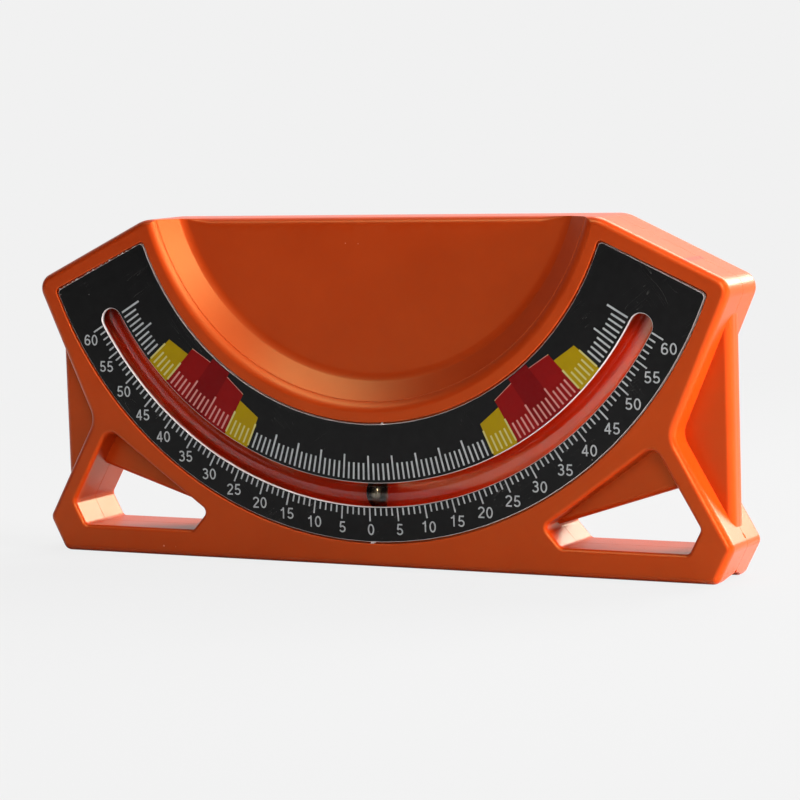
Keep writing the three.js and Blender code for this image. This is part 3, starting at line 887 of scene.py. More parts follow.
def tick_tree():
    """Marks along the scale: a row of points on an arc, each with a bar that is longer at every fifth."""
    tree = bpy.data.node_groups.new("scale marks", "GeometryNodeTree")
    kinds = {"Count": "NodeSocketInt", "Ink": "NodeSocketMaterial"}
    for name in ("Count", "Pitch", "First", "Start", "Short", "Long", "Width", "Thickness", "Depth", "Centre",
                 "Inwards", "Uneven", "Ink"):
        tree.interface.new_socket(name, in_out="INPUT", socket_type=kinds.get(name, "NodeSocketFloat"))
    tree.interface.new_socket("Marks", in_out="OUTPUT", socket_type="NodeSocketGeometry")
    given = tree.nodes.new("NodeGroupInput").outputs
    index = node(tree, "GeometryNodeInputIndex").outputs[0]
    angle = maths(tree, "ADD", given["First"], maths(tree, "MULTIPLY", index, given["Pitch"]))
    fifth = maths(tree, "LESS_THAN", maths(tree, "MODULO", index, 5.0), 0.5)
    extra = maths(tree, "MULTIPLY", fifth, maths(tree, "SUBTRACT", given["Long"], given["Short"]))
    length = maths(tree, "ADD", given["Short"], extra)
    radius = maths(tree, "SUBTRACT", given["Start"], maths(tree, "MULTIPLY", length, given["Inwards"]))
    x = maths(tree, "MULTIPLY", radius, maths(tree, "SINE", angle))
    down = maths(tree, "MULTIPLY", radius, maths(tree, "COSINE", angle))
    z = maths(tree, "SUBTRACT", given["Centre"], down)
    place = node(tree, "ShaderNodeCombineXYZ", {0: x, 1: given["Depth"], 2: z}).outputs[0]
    points = node(tree, "GeometryNodePoints", {"Count": given["Count"], "Position": place}).outputs[0]
    size = node(tree, "ShaderNodeCombineXYZ", {0: given["Width"], 1: given["Thickness"], 2: 1.0}).outputs[0]
    bar = node(tree, "GeometryNodeMeshCube", {"Size": size}).outputs["Mesh"]
    lowered = node(tree, "GeometryNodeTransform", {"Geometry": bar, "Translation": (0, 0, -0.5)}).outputs[0]
    vary = node(tree, "FunctionNodeRandomValue", {2: -0.5, 3: 0.5, "Seed": 7}, data_type="FLOAT").outputs[1]
    wide = maths(tree, "ADD", 1.0, maths(tree, "MULTIPLY", given["Uneven"], vary))
    stretch = node(tree, "ShaderNodeCombineXYZ", {0: wide, 1: 1.0, 2: length}).outputs[0]
    turned = node(tree, "ShaderNodeCombineXYZ", {1: maths(tree, "MULTIPLY", angle, -1.0)}).outputs[0]
    bars = node(tree, "GeometryNodeInstanceOnPoints",
                {"Points": points, "Instance": lowered, "Rotation": turned, "Scale": stretch}).outputs[0]
    real = node(tree, "GeometryNodeRealizeInstances", {"Geometry": bars}).outputs[0]
    inked = node(tree, "GeometryNodeSetMaterial", {"Geometry": real, "Material": given["Ink"]}).outputs[0]
    node(tree, "NodeGroupOutput", {0: inked})
    return tree


def ticks(name, tree, paint, **sizes):
    """One row of marks as a plain mesh."""
    corners = [(0, 0, 0), (1, 0, 0), (0, 0, 1), (0, 1, 0)]
    holder = closed_mesh(name, corners, [(0, 1, 2), (0, 1, 3), (0, 2, 3), (1, 2, 3)])
    marks = holder.modifiers.new("marks", "NODES")
    marks.node_group = tree
    for socket in tree.interface.items_tree:
        if socket.in_out == "INPUT":
            marks[socket.identifier] = paint if socket.name == "Ink" else sizes[socket.name]
    return plain_mesh(holder)


def arc_path(x, z, rx, rz, start, stop, steps=14):
    """Points along a part of an ellipse round (x, z)."""
    return [(x + rx * math.cos((start + (stop - start) * i / steps) * DEGREE),
             z + rz * math.sin((start + (stop - start) * i / steps) * DEGREE)) for i in range(steps + 1)]


# Numerals as strokes in a box half as wide as high: a stroke that ends where it starts is a loop
NUMERALS = {
    "0": [arc_path(0.25, 0.5, 0.185, 0.435, 0, 360, 28)],
    "1": [[(0.30, 0.0), (0.30, 1.0)], [(0.30, 0.90), (0.22, 0.80), (0.10, 0.73)]],
    "2": [arc_path(0.25, 0.71, 0.185, 0.225, 170, -35) + [(0.13, 0.20), (0.075, 0.065)],
          [(0.03, 0.065), (0.455, 0.065)]],
    "3": [arc_path(0.24, 0.74, 0.165, 0.195, 155, -90) + [(0.20, 0.545)],
          arc_path(0.24, 0.305, 0.19, 0.24, 88, -158)],
    "4": [[(0.345, 0.0), (0.345, 0.98)], [(0.335, 0.93), (0.055, 0.31)], [(0.02, 0.285), (0.475, 0.285)]],
    "5": [[(0.44, 0.935), (0.14, 0.935), (0.09, 0.50)], arc_path(0.24, 0.315, 0.195, 0.25, 142, -156)],
    "6": [arc_path(0.25, 0.31, 0.185, 0.245, 0, 360, 24),
          [(0.066, 0.33), (0.07, 0.55), (0.105, 0.75), (0.175, 0.885), (0.27, 0.935), (0.365, 0.90),
           (0.42, 0.79)]],
}


def stroke(points, width, front, back):
    """Points and faces of a flat closed ribbon along a path in X and Z."""
    path = [Vector(p) for p in points]
    looped = (path[0] - path[-1]).length < 1e-6
    if looped:
        path = path[:-1]
    count = len(path)
    body = []
    for i, here in enumerate(path):
        before = path[i - 1] if looped or i else here
        after = path[(i + 1) % count] if looped or i + 1 < count else here
        first = (here - before).normalized() if before != here else (after - here).normalized()
        second = (after - here).normalized() if after != here else first
        along = (first + second).normalized()
        across = Vector((-along.y, along.x)) * width / 2 / max(LEAST_MITRE, along.dot(first))
        for spot in (here + across, here - across):
            body.append((spot.x, front, spot.y))
        for spot in (here - across, here + across):
            body.append((spot.x, back, spot.y))
    faces = []
    for i in range(count if looped else count - 1):
        j = (i + 1) % count
        for side in range(4):
            faces.append((4 * i + side, 4 * i + (side + 1) % 4, 4 * j + (side + 1) % 4, 4 * j + side))
    if not looped:
        faces.append((3, 2, 1, 0))
        faces.append((4 * count - 4, 4 * count - 3, 4 * count - 2, 4 * count - 1))
    return body, faces


def numerals(paint):
    """Plain numerals 0 to 60, upright, at every fifth mark on both sides."""
    parts = []
    end = int(SLOT_END)
    for degrees in range(-end, end + 1, NUMERAL_STEP):
        text = str(abs(degrees))
        x, z = arc_point(NUMERAL_RADIUS, degrees * NUMERAL_CROWDING)
        wide = NUMERAL_HEIGHT * (NUMERAL_ADVANCE * (len(text) - 1) + NUMERAL_BOX * NUMERAL_WIDEN)
        for place, digit in enumerate(text):
            left = x + PRINT_SHIFT - wide / 2 + place * NUMERAL_ADVANCE * NUMERAL_HEIGHT
            for layer, line in enumerate(NUMERALS[digit]):
                path = [(left + px * NUMERAL_WIDEN * NUMERAL_HEIGHT, z + (pz - 0.5) * NUMERAL_HEIGHT)
                        for px, pz in line]
                front = PLATE_FRONT - PRINT_LIFT - LAYER_LIFT * layer
                parts.append(stroke(path, NUMERAL_STROKE, front, PLATE_FRONT + PRINT_SINK))
    return gathered("scale_numerals", parts, paint)


def band_lines(paint):
    """The fine pale lines that edge the red fields."""
    parts = []
    for side in (1, -1):
        for _, start, stop, first, last in (BANDS[1], BANDS[3]):
            ends = (arc_point(first - EDGE_LINE_INSET, start), arc_point(last - EDGE_LINE_INSET, stop))
            path = [(side * x, z) for x, z in ends]
            front = PLATE_FRONT - PRINT_LIFT - EDGE_LINE_LIFT
            parts.append(stroke(path, EDGE_LINE_WIDTH, front, PLATE_FRONT + PRINT_SINK))
    return gathered("scale_field_lines", parts, paint)


# The tube, the ball and what is held inside


def vial_tube():
    """The clear tube: an open shell with its bore."""
    steps = math.ceil(2 * TUBE_END)
    angles = [-TUBE_END + 2 * TUBE_END * i / steps for i in range(steps + 1)]
    rounded = TUBE_END - arc_angle(TUBE_EASE)
    rings = [path_ring(TUBE_OUTER - TUBE_EASE, -TUBE_END, FINE_SIDES)]
    rings += [path_ring(TUBE_OUTER, min(max(angle, -rounded), rounded), FINE_SIDES) for angle in angles]
    rings += [path_ring(TUBE_OUTER - TUBE_EASE, TUBE_END, FINE_SIDES)]
    rings += [path_ring(BORE_RADIUS, angle, FINE_SIDES) for angle in reversed(angles)]
    made = rings_mesh("vial_tube_clear", rings, looped=True)
    smoothed(made)
    made.data.materials.append(clear)
    made.data.materials.append(wetted)
    bore_faces = (len(angles) - 1) * FINE_SIDES
    for polygon in made.data.polygons[-bore_faces - FINE_SIDES:-FINE_SIDES]:
        polygon.material_index = 1
    return made


def ball():
    """The steel ball at the middle of the tube."""
    x, z = arc_point(TUBE_PATH_RADIUS, 0)
    mesh = bpy.data.meshes.new("indicator_ball_steel")
    work = bmesh.new()
    bmesh.ops.create_icosphere(work, subdivisions=5, radius=BALL_RADIUS * MM)
    bmesh.ops.translate(work, verts=work.verts, vec=Vector((x, TUBE_Y, z)) * MM)
    work.to_mesh(mesh)
    work.free()
    for polygon in mesh.polygons:
        polygon.use_smooth = True
    mesh.materials.append(steel)
    piece = bpy.data.objects.new("indicator_ball_steel", mesh)
    bpy.context.scene.collection.objects.link(piece)
    return piece


def plug(side):
    """A rubber plug with a ribbed insert, turned to the tube's end."""
    inner = BORE_RADIUS - PLUG_FIT
    core = inner - PLUG_GROOVE
    profile = [(0, -PLUG_FLANGE), (PLUG_FLANGE_RADIUS - PLUG_EASE, -PLUG_FLANGE),
               (PLUG_FLANGE_RADIUS, -PLUG_FLANGE + PLUG_EASE), (PLUG_FLANGE_RADIUS, -PLUG_UNDERCUT),
               (PLUG_FLANGE_RADIUS - PLUG_UNDERCUT, 0), (core, 0)]
    for i in range(PLUG_RIBS):
        foot, rise, fall, end = (PLUG_FIRST_RIB + i * PLUG_RIB_PITCH + step for step in PLUG_RIB)
        profile += [(core, foot), (inner, rise), (inner, fall), (core, end)]
    profile += [(core, PLUG_INSERT - PLUG_NOSE), (inner - 2 * PLUG_NOSE, PLUG_INSERT), (0, PLUG_INSERT)]
    made = lathed("vial_plug_" + ("right" if side > 0 else "left") + "_rubber", profile, 0, 0, PLUG_SIDES)
    x, z = arc_point(TUBE_PATH_RADIUS, side * TUBE_END)
    turn = Matrix.Rotation(side * math.pi / 2, 4, "Z")
    shift = Matrix.Translation(Vector((side * FLANGE_GAP, 0, 0)) * MM)
    swing = Matrix.Rotation(-side * TUBE_END * DEGREE, 4, "Y")
    made.data.transform(Matrix.Translation(Vector((x, TUBE_Y, z)) * MM) @ swing @ shift @ turn)
    return made


def adhesive():
    """The bonding film behind the plate, open along the tube."""
    sheet = band("plate_adhesive_film", [(ADHESIVE_FRONT, 0), (ADHESIVE_FRONT + ADHESIVE_THICKNESS, 0)])
    gap = trough_band("film gap", ADHESIVE_FRONT - OVERRUN, ADHESIVE_FRONT + 2 * OVERRUN)
    return worked(sheet, *less(gap))


def screw(name, place):
    """A pan head screw with a cross drive and a rolled thread."""
    top = SCREW_SEAT + HEAD_HEIGHT
    profile = [(0, SCREW_TIP)]
    pitch = (SCREW_SEAT - SCREW_TIP - 2 * THREAD_MARGIN) / THREAD_TURNS
    for i in range(THREAD_TURNS):
        y = SCREW_TIP + THREAD_MARGIN + i * pitch
        core = THREAD_CORE if i else TIP_CORE
        profile += [(core, y), (SHANK_RADIUS, y + pitch * 0.4), (core + THREAD_TAPER, y + pitch * 0.8)]
    profile += [(NECK_RADIUS - NECK_FLARE, SCREW_SEAT - 2 * NECK_FLARE), (NECK_RADIUS, SCREW_SEAT)]
    profile.append((HEAD_RADIUS, SCREW_SEAT))
    for step in range(FILLET_STEPS + 1):
        angle = step / FILLET_STEPS * HEAD_TURN * DEGREE
        radius = HEAD_RADIUS - HEAD_ROUND * (1 - math.cos(angle)) - HEAD_TAPER * step
        profile.append((radius, SCREW_SEAT + HEAD_SKIRT + HEAD_DOME * math.sin(angle)))
    profile[-1] = (profile[-1][0], top)
    profile.append((0, top))
    arms = []
    for wide, tall in ((DRIVE_HALF, DRIVE_WIDTH), (DRIVE_WIDTH, DRIVE_HALF)):
        corners = [(-wide, -tall), (wide, -tall), (wide, tall), (-wide, tall)]
        rings = [[(place[0] + dx * size, y, place[1] + dz * size) for dx, dz in corners]
                 for y, size in ((top - DRIVE_DEPTH, DRIVE_FOOT), (top + DRIVE_WIDTH, DRIVE_MOUTH))]
        arms.append(rings_mesh("drive", rings))
    return worked(lathed(name, profile, *place, FINE_SIDES), *less(*arms))


# Materials


def node(tree, kind, values=None, **settings):
    """A node with its settings made and its inputs set or linked."""
    made = tree.nodes.new(kind)
    for key, value in settings.items():
        setattr(made, key, value)
    for key, value in (values or {}).items():
        if isinstance(value, bpy.types.NodeSocket):
            tree.links.new(value, made.inputs[key])
        else:
            made.inputs[key].default_value = value
    return made


def maths(tree, operation, first, second=0.0):
    """What comes of one step of arithmetic on one or two values."""
    return node(tree, "ShaderNodeMath", {0: first, 1: second}, operation=operation).outputs[0]


def within(tree, value, low, high):
    """One where a value lies between two others, and zero elsewhere."""
    above = maths(tree, "GREATER_THAN", value, low)
    return maths(tree, "MULTIPLY", above, maths(tree, "LESS_THAN", value, high))


def ink(red, green, blue):
    """A colour given as it shows on a screen, 0 to 255."""
    shares = [value / 255 for value in (red, green, blue)]
    return tuple(v / 12.92 if v <= 0.04045 else ((v + 0.055) / 1.055) ** 2.4 for v in shares) + (1.0,)


def blended(tree, factor, first, second):
    """A colour between two."""
    return node(tree, "ShaderNodeMix", {0: factor, 6: first, 7: second}, data_type="RGBA").outputs[2]


def ranged(tree, value, low, high, to_low=0.0, to_high=1.0):
    """Carries a value from one range to another, held at its ends."""
    return node(tree, "ShaderNodeMapRange", {0: value, 1: low, 2: high, 3: to_low, 4: to_high}).outputs[0]


def noise(tree, place, scale, detail, roughness=0.5):
    """Cloudy noise about a half."""
    values = {"Vector": place, "Scale": scale, "Detail": detail, "Roughness": roughness}
    return node(tree, "ShaderNodeTexNoise", values).outputs[0]


def shared_effect(name, inputs, outputs):
    """An empty shader group with named inputs and outputs."""
    tree = bpy.data.node_groups.new(name, "ShaderNodeTree")
    for label, value in inputs.items():
        tree.interface.new_socket(label, in_out="INPUT", socket_type="NodeSocketFloat").default_value = value
    for label in outputs:
        tree.interface.new_socket(label, in_out="OUTPUT", socket_type="NodeSocketFloat")
    return tree, tree.nodes.new("NodeGroupInput").outputs, tree.nodes.new("NodeGroupOutput").inputs


def place_of(tree):
    """Where a spot lies on its piece, in metres."""
    return node(tree, "ShaderNodeTexCoord").outputs["Object"]


def scale_place(tree):
    """A spot's coordinates, how far it lies under the centre of the arcs, and how far from it."""
    spot = node(tree, "ShaderNodeSeparateXYZ", {0: place_of(tree)}).outputs
    down = maths(tree, "SUBTRACT", ARC_HEIGHT * MM, spot[2])
    squares = [maths(tree, "MULTIPLY", length, length) for length in (spot[0], down)]
    return spot, down, maths(tree, "SQRT", maths(tree, "ADD", *squares))


def grain_effect():
    """Fine moulded or rolled grain, with a broad mottle."""
    tree, given, out = shared_effect("surface grain", {"Fine": 9000.0, "Broad": 120.0}, ("Height", "Mottle"))
    place = place_of(tree)
    tree.links.new(noise(tree, place, given["Fine"], 3.0, 0.6), out["Height"])
    tree.links.new(ranged(tree, noise(tree, place, given["Broad"], 4.0, 0.55), 0.3, 0.7), out["Mottle"])
    return tree


def wear_effect():
    """Where edges are rubbed: the rounded normal parts from the true one, broken up by noise."""
    inputs = {"Width": 0.0004, "Breakup": 900.0, "Reach": 0.25}
    tree, given, out = shared_effect("edge wear", inputs, ("Wear",))
    soft = node(tree, "ShaderNodeBevel", {"Radius": given["Width"]}, samples=4).outputs[0]
    true = node(tree, "ShaderNodeNewGeometry").outputs["Normal"]
    level = node(tree, "ShaderNodeVectorMath", {0: soft, 1: true}, operation="DOT_PRODUCT").outputs["Value"]
    broken = ranged(tree, noise(tree, place_of(tree), given["Breakup"], 3.0), 0.35, 0.65)
    edge = ranged(tree, maths(tree, "SUBTRACT", 1.0, level), 0.01, given["Reach"])
    tree.links.new(maths(tree, "MULTIPLY", edge, broken), out["Wear"])
    return tree


def scratch_effect():
    """Thin scratches in two directions, few and short."""
    tree, given, out = shared_effect("fine scratches", {"Scale": 260.0, "Amount": 0.02}, ("Scratch",))
    crowded = maths(tree, "MULTIPLY", given["Scale"], 9.0)
    masks = []
    for turn, start in ((0.6, 0.0), (-0.9, 3.7)):
        moved = {"Vector": place_of(tree), "Rotation": (0.0, turn, 0.0), "Location": (start, 0.0, 0.0)}
        spun = node(tree, "ShaderNodeMapping", moved).outputs[0]
        drawn = node(tree, "ShaderNodeMapping", {"Vector": spun, "Scale": (0.06, 1.0, 1.0)}).outputs[0]
        off_line = maths(tree, "ABSOLUTE", maths(tree, "SUBTRACT", noise(tree, drawn, crowded, 1.0), 0.5))
        line = maths(tree, "LESS_THAN", off_line, given["Amount"])
        patch = ranged(tree, noise(tree, spun, given["Scale"], 0.0), 0.62, 0.7)
        masks.append(maths(tree, "MULTIPLY", line, patch))
    tree.links.new(maths(tree, "MAXIMUM", *masks), out["Scratch"])
    return tree


def speck_effect():
    """Dust and tiny chips: small dots, only in some of the cells."""
    tree, given, out = shared_effect("dust specks", {"Scale": 900.0, "Size": 0.12, "Share": 0.05}, ("Speck",))
    cells = node(tree, "ShaderNodeTexVoronoi", {"Vector": place_of(tree), "Scale": given["Scale"]}).outputs
    dot = maths(tree, "LESS_THAN", cells["Distance"], given["Size"])
    luck = node(tree, "ShaderNodeSeparateColor", {0: cells["Color"]}).outputs[0]
    tree.links.new(maths(tree, "MULTIPLY", dot, maths(tree, "LESS_THAN", luck, given["Share"])), out["Speck"])
    return tree


def effect(tree, group, **values):
    """A shared shader group, with its inputs set by name."""
    return node(tree, "ShaderNodeGroup", values, node_tree=group).outputs


def surface(name, fixed):
    """A material with one Principled shader; fixed values go on the shader's own sockets."""
    made = bpy.data.materials.new(name)
    made.use_nodes = True
    tree = made.node_tree
    tree.nodes.clear()
    shader = node(tree, "ShaderNodeBsdfPrincipled", fixed)
    node(tree, "ShaderNodeOutputMaterial", {0: shader.outputs[0]})
    return made, tree, shader.inputs


def grained(tree, shader, fine, broad, rough, strength, distance):
    """Gives a surface its fine bump and uneven roughness, and returns its broad mottle."""
    grain = effect(tree, grain_fx, Fine=fine, Broad=broad)
    tree.links.new(ranged(tree, grain["Mottle"], 0.0, 1.0, *rough), shader["Roughness"])
    bumped(tree, shader, grain["Height"], strength, distance)
    return grain["Mottle"]


def bumped(tree, shader, height, strength, distance):
    """Gives a surface fine relief."""
    bump = node(tree, "ShaderNodeBump", {"Strength": strength, "Distance": distance, "Height": height})
    tree.links.new(bump.outputs[0], shader["Normal"])


def moulded_orange():
    """The housing's plastic: a little mottled and dusty, its edges rubbed paler, and painted a brighter red
    in the trough as painted light.
    """
    made, tree, shader = surface("moulded orange", {
        "IOR": 1.5, "Specular IOR Level": 0.4, "Specular Tint": (1.0, 0.92, 0.3, 1.0)})
    grain = effect(tree, grain_fx, Fine=5200.0, Broad=70.0)
    wear = effect(tree, wear_fx, Width=0.0005, Breakup=1400.0, Reach=0.2)["Wear"]
    scratch = effect(tree, scratch_fx, Scale=180.0, Amount=0.006)["Scratch"]
    speck = effect(tree, speck_fx, Scale=420.0, Size=0.07, Share=0.03)["Speck"]
    tone = blended(tree, grain["Mottle"], ink(160, 43, 4), ink(168, 48, 6))
    # Painted light: the trough round the tube is painted a brighter red, in place of light that does not
    # reach it
    tone = blended(tree, in_trough(tree), tone, ink(178, 25, 5))
    rubbed = blended(tree, maths(tree, "MULTIPLY", wear, 0.35), tone, ink(206, 88, 42))
    dusty = blended(tree, maths(tree, "MULTIPLY", speck, 0.5), rubbed, ink(236, 170, 140))
    tree.links.new(dusty, shader["Base Color"])
    rough = ranged(tree, grain["Mottle"], 0.0, 1.0, 0.31, 0.37)
    rough = maths(tree, "ADD", rough, maths(tree, "MULTIPLY", maths(tree, "MAXIMUM", wear, scratch), 0.12))
    tree.links.new(rough, shader["Roughness"])
    height = maths(tree, "SUBTRACT", grain["Height"], maths(tree, "MULTIPLY", scratch, 0.6))
    bumped(tree, shader, height, 0.18, 0.00002)
    return made


def in_trough(tree):
    """One inside the trough round the tube, where painted light makes the plastic a brighter red."""
    spot, down, reach = scale_place(tree)
    margin = (CHANNEL_HALF + TROUGH_PAINTED_LIGHT_REACH) * MM
    near = within(tree, reach, TUBE_PATH_RADIUS * MM - margin, TUBE_PATH_RADIUS * MM + margin)
    deep = within(tree, spot[1], PLATE_BACK * MM - TROUGH_PAINTED_LIGHT_START * MM, TUBE_Y * MM + margin)
    below = maths(tree, "GREATER_THAN", down, TROUGH_PAINTED_LIGHT_DROP * MM)
    return maths(tree, "MULTIPLY", maths(tree, "MULTIPLY", near, below), deep)


def printed(name, dark, light, rough, scratches=0.0):
    """Screen ink with a slightly uneven coat."""
    made, tree, shader = surface(name, {"IOR": 1.5, "Specular IOR Level": 0.11})
    mottle = grained(tree, shader, fine=14000.0, broad=600.0, rough=rough, strength=0.05, distance=0.00001)
    colour = blended(tree, mottle, dark, light)
    if scratches:
        scratch = effect(tree, scratch_fx, Scale=150.0, Amount=scratches)["Scratch"]
        speck = effect(tree, speck_fx, Scale=520.0, Size=0.07, Share=0.05)["Speck"]
        scratch = maths(tree, "MULTIPLY", scratch, 0.16)
        marks = maths(tree, "MAXIMUM", scratch, maths(tree, "MULTIPLY", speck, 0.35))
        colour = blended(tree, marks, colour, ink(170, 165, 160))
    tree.links.new(colour, shader["Base Color"])
    return made


def mark_ink():
    """Pale ink of the marks and numerals; over the coloured fields the field shows through it."""
    made, tree, shader = surface("pale mark ink", {"IOR": 1.5, "Specular IOR Level": 0.4})
    mottle = grained(tree, shader, fine=12000.0, broad=900.0, rough=(0.5, 0.6), strength=0.15,
                     distance=0.00001)
    spot, down, reach = scale_place(tree)
    angle = maths(tree, "ARCTAN2", maths(tree, "ABSOLUTE", spot[0]), down)
    inside = maths(tree, "LESS_THAN", reach, TUBE_PATH_RADIUS * MM)
    colour = blended(tree, mottle, ink(146, 148, 150), ink(166, 167, 167))
    fields = ((BANDS[0][1] - TINT_EDGE, BANDS[4][2] + TINT_EDGE, ink(176, 166, 96)),
              (BANDS[1][1] + TINT_EDGE, BANDS[3][2] - TINT_EDGE, ink(184, 118, 108)))
    for low, high, tinted in fields:
        over = maths(tree, "MULTIPLY", within(tree, angle, low * DEGREE, high * DEGREE), inside)
        colour = blended(tree, over, colour, tinted)
    tree.links.new(colour, shader["Base Color"])
    return made


def clear_plastic():
    """The tube: clear, with the faintest drawing lines along it."""
    made, tree, shader = surface("clear tube", {
        "Base Color": (1.0, 0.97, 0.86, 1.0), "Transmission Weight": 1.0, "IOR": 1.49, "Metallic": 0.0,
        "Specular IOR Level": 0.11})
    grained(tree, shader, fine=2500.0, broad=260.0, rough=(0.02, 0.06), strength=0.05, distance=0.00001)
    clear_to_lamps(tree, (0.99, 0.97, 0.9, 1.0))
    return made


def wetted_bore():
    """The bore under the clear liquid that fills it: it only tints what is seen through it."""
    made, tree, shader = surface("liquid in the bore", {
        "Transmission Weight": 1.0, "IOR": 1.0, "Metallic": 0.0, "Roughness": 0.0, "Specular IOR Level": 0.0})
    mottle = effect(tree, grain_fx, Fine=900.0, Broad=90.0)["Mottle"]
    colour = blended(tree, mottle, (0.97, 0.84, 0.66, 1.0), (0.99, 0.90, 0.76, 1.0))
    tree.links.new(colour, shader["Base Color"])
    clear_to_lamps(tree, (0.99, 0.9, 0.8, 1.0))
    return made


def clear_to_lamps(tree, tint):
    """Lets the lamps shine through a clear surface, tinted."""
    output = next(n for n in tree.nodes if n.type == "OUTPUT_MATERIAL")
    shaded = output.inputs[0].links[0].from_socket
    ray = node(tree, "ShaderNodeLightPath").outputs["Is Shadow Ray"]
    through = node(tree, "ShaderNodeBsdfTransparent", {0: tint}).outputs[0]
    either = node(tree, "ShaderNodeMixShader", {0: ray, 1: shaded, 2: through})
    tree.links.new(either.outputs[0], output.inputs[0])


def metal(name, low, high, rough, scale, coat=0.0):
    """Bright metal with rubbed patches and hairline scratches, under an even polish where it has one."""
    made, tree, shader = surface(name, {"Metallic": 1.0, "Coat Weight": coat, "Coat IOR": 1.9})
    grain = effect(tree, grain_fx, Fine=scale * 10, Broad=scale)
    scratch = effect(tree, scratch_fx, Scale=scale, Amount=0.02)["Scratch"]
    tree.links.new(blended(tree, grain["Mottle"], low, high), shader["Base Color"])
    even = ranged(tree, grain["Mottle"], 0.0, 1.0, *rough)
    tree.links.new(maths(tree, "ADD", even, maths(tree, "MULTIPLY", scratch, 0.15)), shader["Roughness"])
    bumped(tree, shader, grain["Height"], 0.08, 0.00001)
    return made


def dull(name, low, high, rough, fine, depth):
    """Rubber, film and other plain dull stuff with grain."""
    made, tree, shader = surface(name, {"Specular IOR Level": 0.35})
    mottle = grained(tree, shader, fine, fine / 12, rough, strength=0.3, distance=depth)
    tree.links.new(blended(tree, mottle, low, high), shader["Base Color"])
    return made


# The stage


def shows_plain(tree, along, start, stop):
    """One for the camera's own rays, and for mirrored ones that end behind the object."""
    light = node(tree, "ShaderNodeLightPath").outputs
    mirrored_too = maths(tree, "MAXIMUM", light["Is Glossy Ray"], light["Is Transmission Ray"])
    mirrored_too = maths(tree, "MULTIPLY", mirrored_too, ranged(tree, along, start, stop))
    return maths(tree, "MAXIMUM", light["Is Camera Ray"], mirrored_too)


def stage_surface(name, shown):
    """Pale ground: plain to the eye and in reflections, with a soft shadow near the object."""
    made = bpy.data.materials.new(name)
    made.use_nodes = True
    tree = made.node_tree
    tree.nodes.clear()
    spot = node(tree, "ShaderNodeSeparateXYZ", {0: place_of(tree)}).outputs
    seen = shows_plain(tree, spot[1], 0.0, 0.2)
    grey = blended(tree, seen, (0.5, 0.5, 0.5, 1.0), (0.4, 0.4, 0.4, 1.0))
    matt = node(tree, "ShaderNodeBsdfDiffuse", {0: grey})
    glow = node(tree, "ShaderNodeEmission", {0: shown, 1: 1.0})
    away = node(tree, "ShaderNodeVectorMath", {0: place_of(tree)}, operation="LENGTH").outputs["Value"]
    share = maths(tree, "MULTIPLY", seen, ranged(tree, away, SHADOW_NEAR, SHADOW_FAR, SHADOW_PLAINNESS))
    either = node(tree, "ShaderNodeMixShader", {0: share, 1: matt.outputs[0], 2: glow.outputs[0]})
    node(tree, "ShaderNodeOutputMaterial", {0: either.outputs[0]})
    return made


def stage():
    """The pale floor and the soft room round the object."""
    shown = ink(241, 241, 241)
    floor = block("floor", (-FLOOR_HALF, -FLOOR_HALF, -FLOOR_DEPTH), (FLOOR_HALF, FLOOR_HALF, 0.0))
    floor.data.materials.append(stage_surface("pale floor", shown))
    world = bpy.data.worlds.new("soft room")
    bpy.context.scene.world = world
    world.use_nodes = True
    tree = world.node_tree
    tree.nodes.clear()
    room = node(tree, "ShaderNodeBackground", {0: (0.95, 0.97, 1.0, 1.0), 1: 0.03})
    shown_room = node(tree, "ShaderNodeBackground", {0: shown, 1: 1.0})
    around = node(tree, "ShaderNodeTexCoord").outputs["Generated"]
    way = node(tree, "ShaderNodeSeparateXYZ", {0: around}).outputs
    seen = shows_plain(tree, way[1], -0.2, 0.2)
    either = node(tree, "ShaderNodeMixShader", {0: seen, 1: room.outputs[0], 2: shown_room.outputs[0]})
    node(tree, "ShaderNodeOutputWorld", {0: either.outputs[0]})


def soft_light(name, place, size, power, hidden_from=None):
    """A flat lamp turned to the object's middle; it can be left out of mirrored or of plain light."""
    lamp = bpy.data.lights.new(name, "AREA")
    lamp.shape = "RECTANGLE"
    lamp.size, lamp.size_y = size[0] * MM, size[1] * MM
    lamp.energy = power
    made = bpy.data.objects.new(name, lamp)
    bpy.context.scene.collection.objects.link(made)
    back = (Vector(place) - Vector(MIDDLE)).normalized().to_track_quat("Z", "Y").to_matrix().to_4x4()
    made.matrix_world = Matrix.Translation(Vector(place) * MM) @ back
    made.visible_glossy = hidden_from != "mirrored"
    made.visible_diffuse = hidden_from != "plain"


def camera():
    """The photograph's camera, solved from the marks of the scale."""
    azimuth, elevation, roll = (value * DEGREE for value in CAMERA_TURN)
    level = Vector((math.sin(azimuth), -math.cos(azimuth), 0))
    back = level * math.cos(elevation) + Vector((0, 0, math.sin(elevation)))
    right = Vector((0, 0, 1)).cross(back).normalized()
    up = back.cross(right)
    level_right = right * math.cos(roll) + up * math.sin(roll)
    level_up = up * math.cos(roll) - right * math.sin(roll)
    lens = bpy.data.cameras.new("camera")
    lens.sensor_width = FILM_WIDTH
    lens.lens = FOCAL_PIXELS / PICTURE_PIXELS * FILM_WIDTH
    lens.clip_start = 0.01
    lens.clip_end = 20.0
    made = bpy.data.objects.new("camera", lens)
    bpy.context.scene.collection.objects.link(made)
    turn = Matrix((level_right, level_up, back)).transposed().to_4x4()
    made.matrix_world = Matrix.Translation(Vector(CAMERA_PLACE) * MM) @ turn
    bpy.context.scene.camera = made


# The pieces


def put(piece, body, stands_for=None):
    """Joins a finished piece to its body and hides the solid that it stands for."""
    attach(piece, body)
    if stands_for:
        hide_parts(*stands_for)
    return piece


def finish_with(piece, material):
    """Gives a whole piece one material and its shading."""
    piece.data.materials.clear()
    piece.data.materials.append(material)
    for polygon in piece.data.polygons:
        polygon.material_index = 0
    return smoothed(piece)


camera()
stage()
bpy.context.scene.view_settings.view_transform = "Standard"
for lamp in LAMPS:
    soft_light(*lamp)

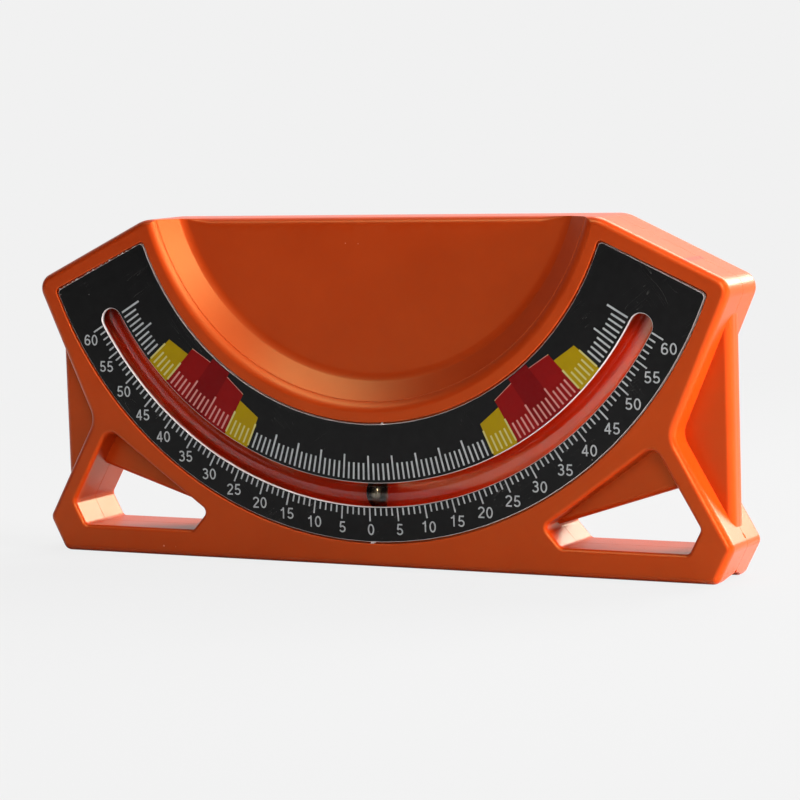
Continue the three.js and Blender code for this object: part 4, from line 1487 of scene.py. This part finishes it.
grain_fx = grain_effect()
wear_fx = wear_effect()
scratch_fx = scratch_effect()
speck_fx = speck_effect()

orange = moulded_orange()
print_black = printed("printed black", ink(16, 16, 16), ink(20, 20, 20), (0.25, 0.265), scratches=0.002)
cut_white = dull("cut pale core", ink(180, 167, 165), ink(202, 191, 188), (0.55, 0.7), fine=6000.0,
                 depth=0.00003)
pale_ink = mark_ink()
yellow_ink = printed("yellow ink", ink(144, 118, 0), ink(149, 123, 1), (0.25, 0.27))
red_ink = printed("red ink", ink(116, 5, 4), ink(121, 6, 5), (0.25, 0.27))
deep_red_ink = printed("deep red ink", ink(100, 1, 2), ink(105, 1, 3), (0.25, 0.27))
clear = clear_plastic()
wetted = wetted_bore()
# Painted shade: the ball's steel is far darker than bare steel, in place of the shaded inside of the tube
# that it reflects
steel = metal("polished steel darkened with painted shade", ink(58, 54, 48), ink(76, 70, 62), (0.1, 0.17), scale=900.0, coat=1.0)
zinc = metal("zinc plate", ink(176, 180, 186), ink(200, 203, 208), (0.24, 0.4), scale=700.0)
rubber = dull("plug rubber", ink(30, 30, 31), ink(42, 42, 43), (0.7, 0.85), fine=5000.0, depth=0.00005)
film = dull("bonding film", ink(222, 216, 200), ink(238, 233, 220), (0.5, 0.7), fine=3000.0, depth=0.00002)

put(finish_with(front_housing(), orange), HOUSING_BODY, ["front_housing"])
put(finish_with(rear_housing(), orange), HOUSING_BODY, ["rear_housing"])
put(scale_plate(), HOUSING_BODY, ["scale_plate"])
for sliver in plate_tabs() + [plate_end_chips()]:
    put(sliver, HOUSING_BODY)
field_inks = {"yellow": yellow_ink, "red": red_ink, "deep": deep_red_ink}
for label, start, stop, first, last in BANDS:
    paint = field_inks[label.split("_")[0]]
    for side_name, side in SIDES:
        field = colour_band(f"field_{label}_{side_name}", start, stop, first, last, side, paint)
        put(field, HOUSING_BODY)
marks = tick_tree()
shared_sizes = {"Count": int(2 * SLOT_END) + 1, "Pitch": DEGREE, "First": -SLOT_END * DEGREE,
                "Thickness": MARK_THICKNESS * MM, "Depth": (PLATE_FRONT + MARK_DROP) * MM,
                "Centre": ARC_HEIGHT * MM, "Uneven": 0.12}
outer_sizes = {"Start": (SLOT_OUTER_RADIUS + OUTER_MARK_GAP) * MM, "Short": 1.23 * MM, "Long": 2.18 * MM,
               "Width": 0.26 * MM, "Inwards": 0.0}
inner_sizes = {"Start": (SLOT_INNER_RADIUS - INNER_MARK_GAP) * MM, "Short": 2.74 * MM, "Long": 3.98 * MM,
               "Width": 0.31 * MM, "Inwards": 1.0}
put(ticks("marks_outer", marks, pale_ink, **shared_sizes, **outer_sizes), HOUSING_BODY)
put(ticks("marks_inner", marks, pale_ink, **shared_sizes, **inner_sizes), HOUSING_BODY)
put(numerals(pale_ink), HOUSING_BODY)
put(band_lines(pale_ink), HOUSING_BODY)
put(finish_with(adhesive(), film), HOUSING_BODY, ["plate_adhesive"])
put(vial_tube(), HOUSING_BODY, ["vial_tube"])
put(ball(), BALL_BODY, ["indicator_ball"])
for side_name, side in SIDES:
    put(finish_with(plug(side), rubber), HOUSING_BODY, [f"vial_plug_{side_name}"])
for label, place in screw_places().items():
    fastener = finish_with(screw(f"screw_{label}", place), zinc)
    put(fastener, HOUSING_BODY, [f"housing_screw_{label}"])
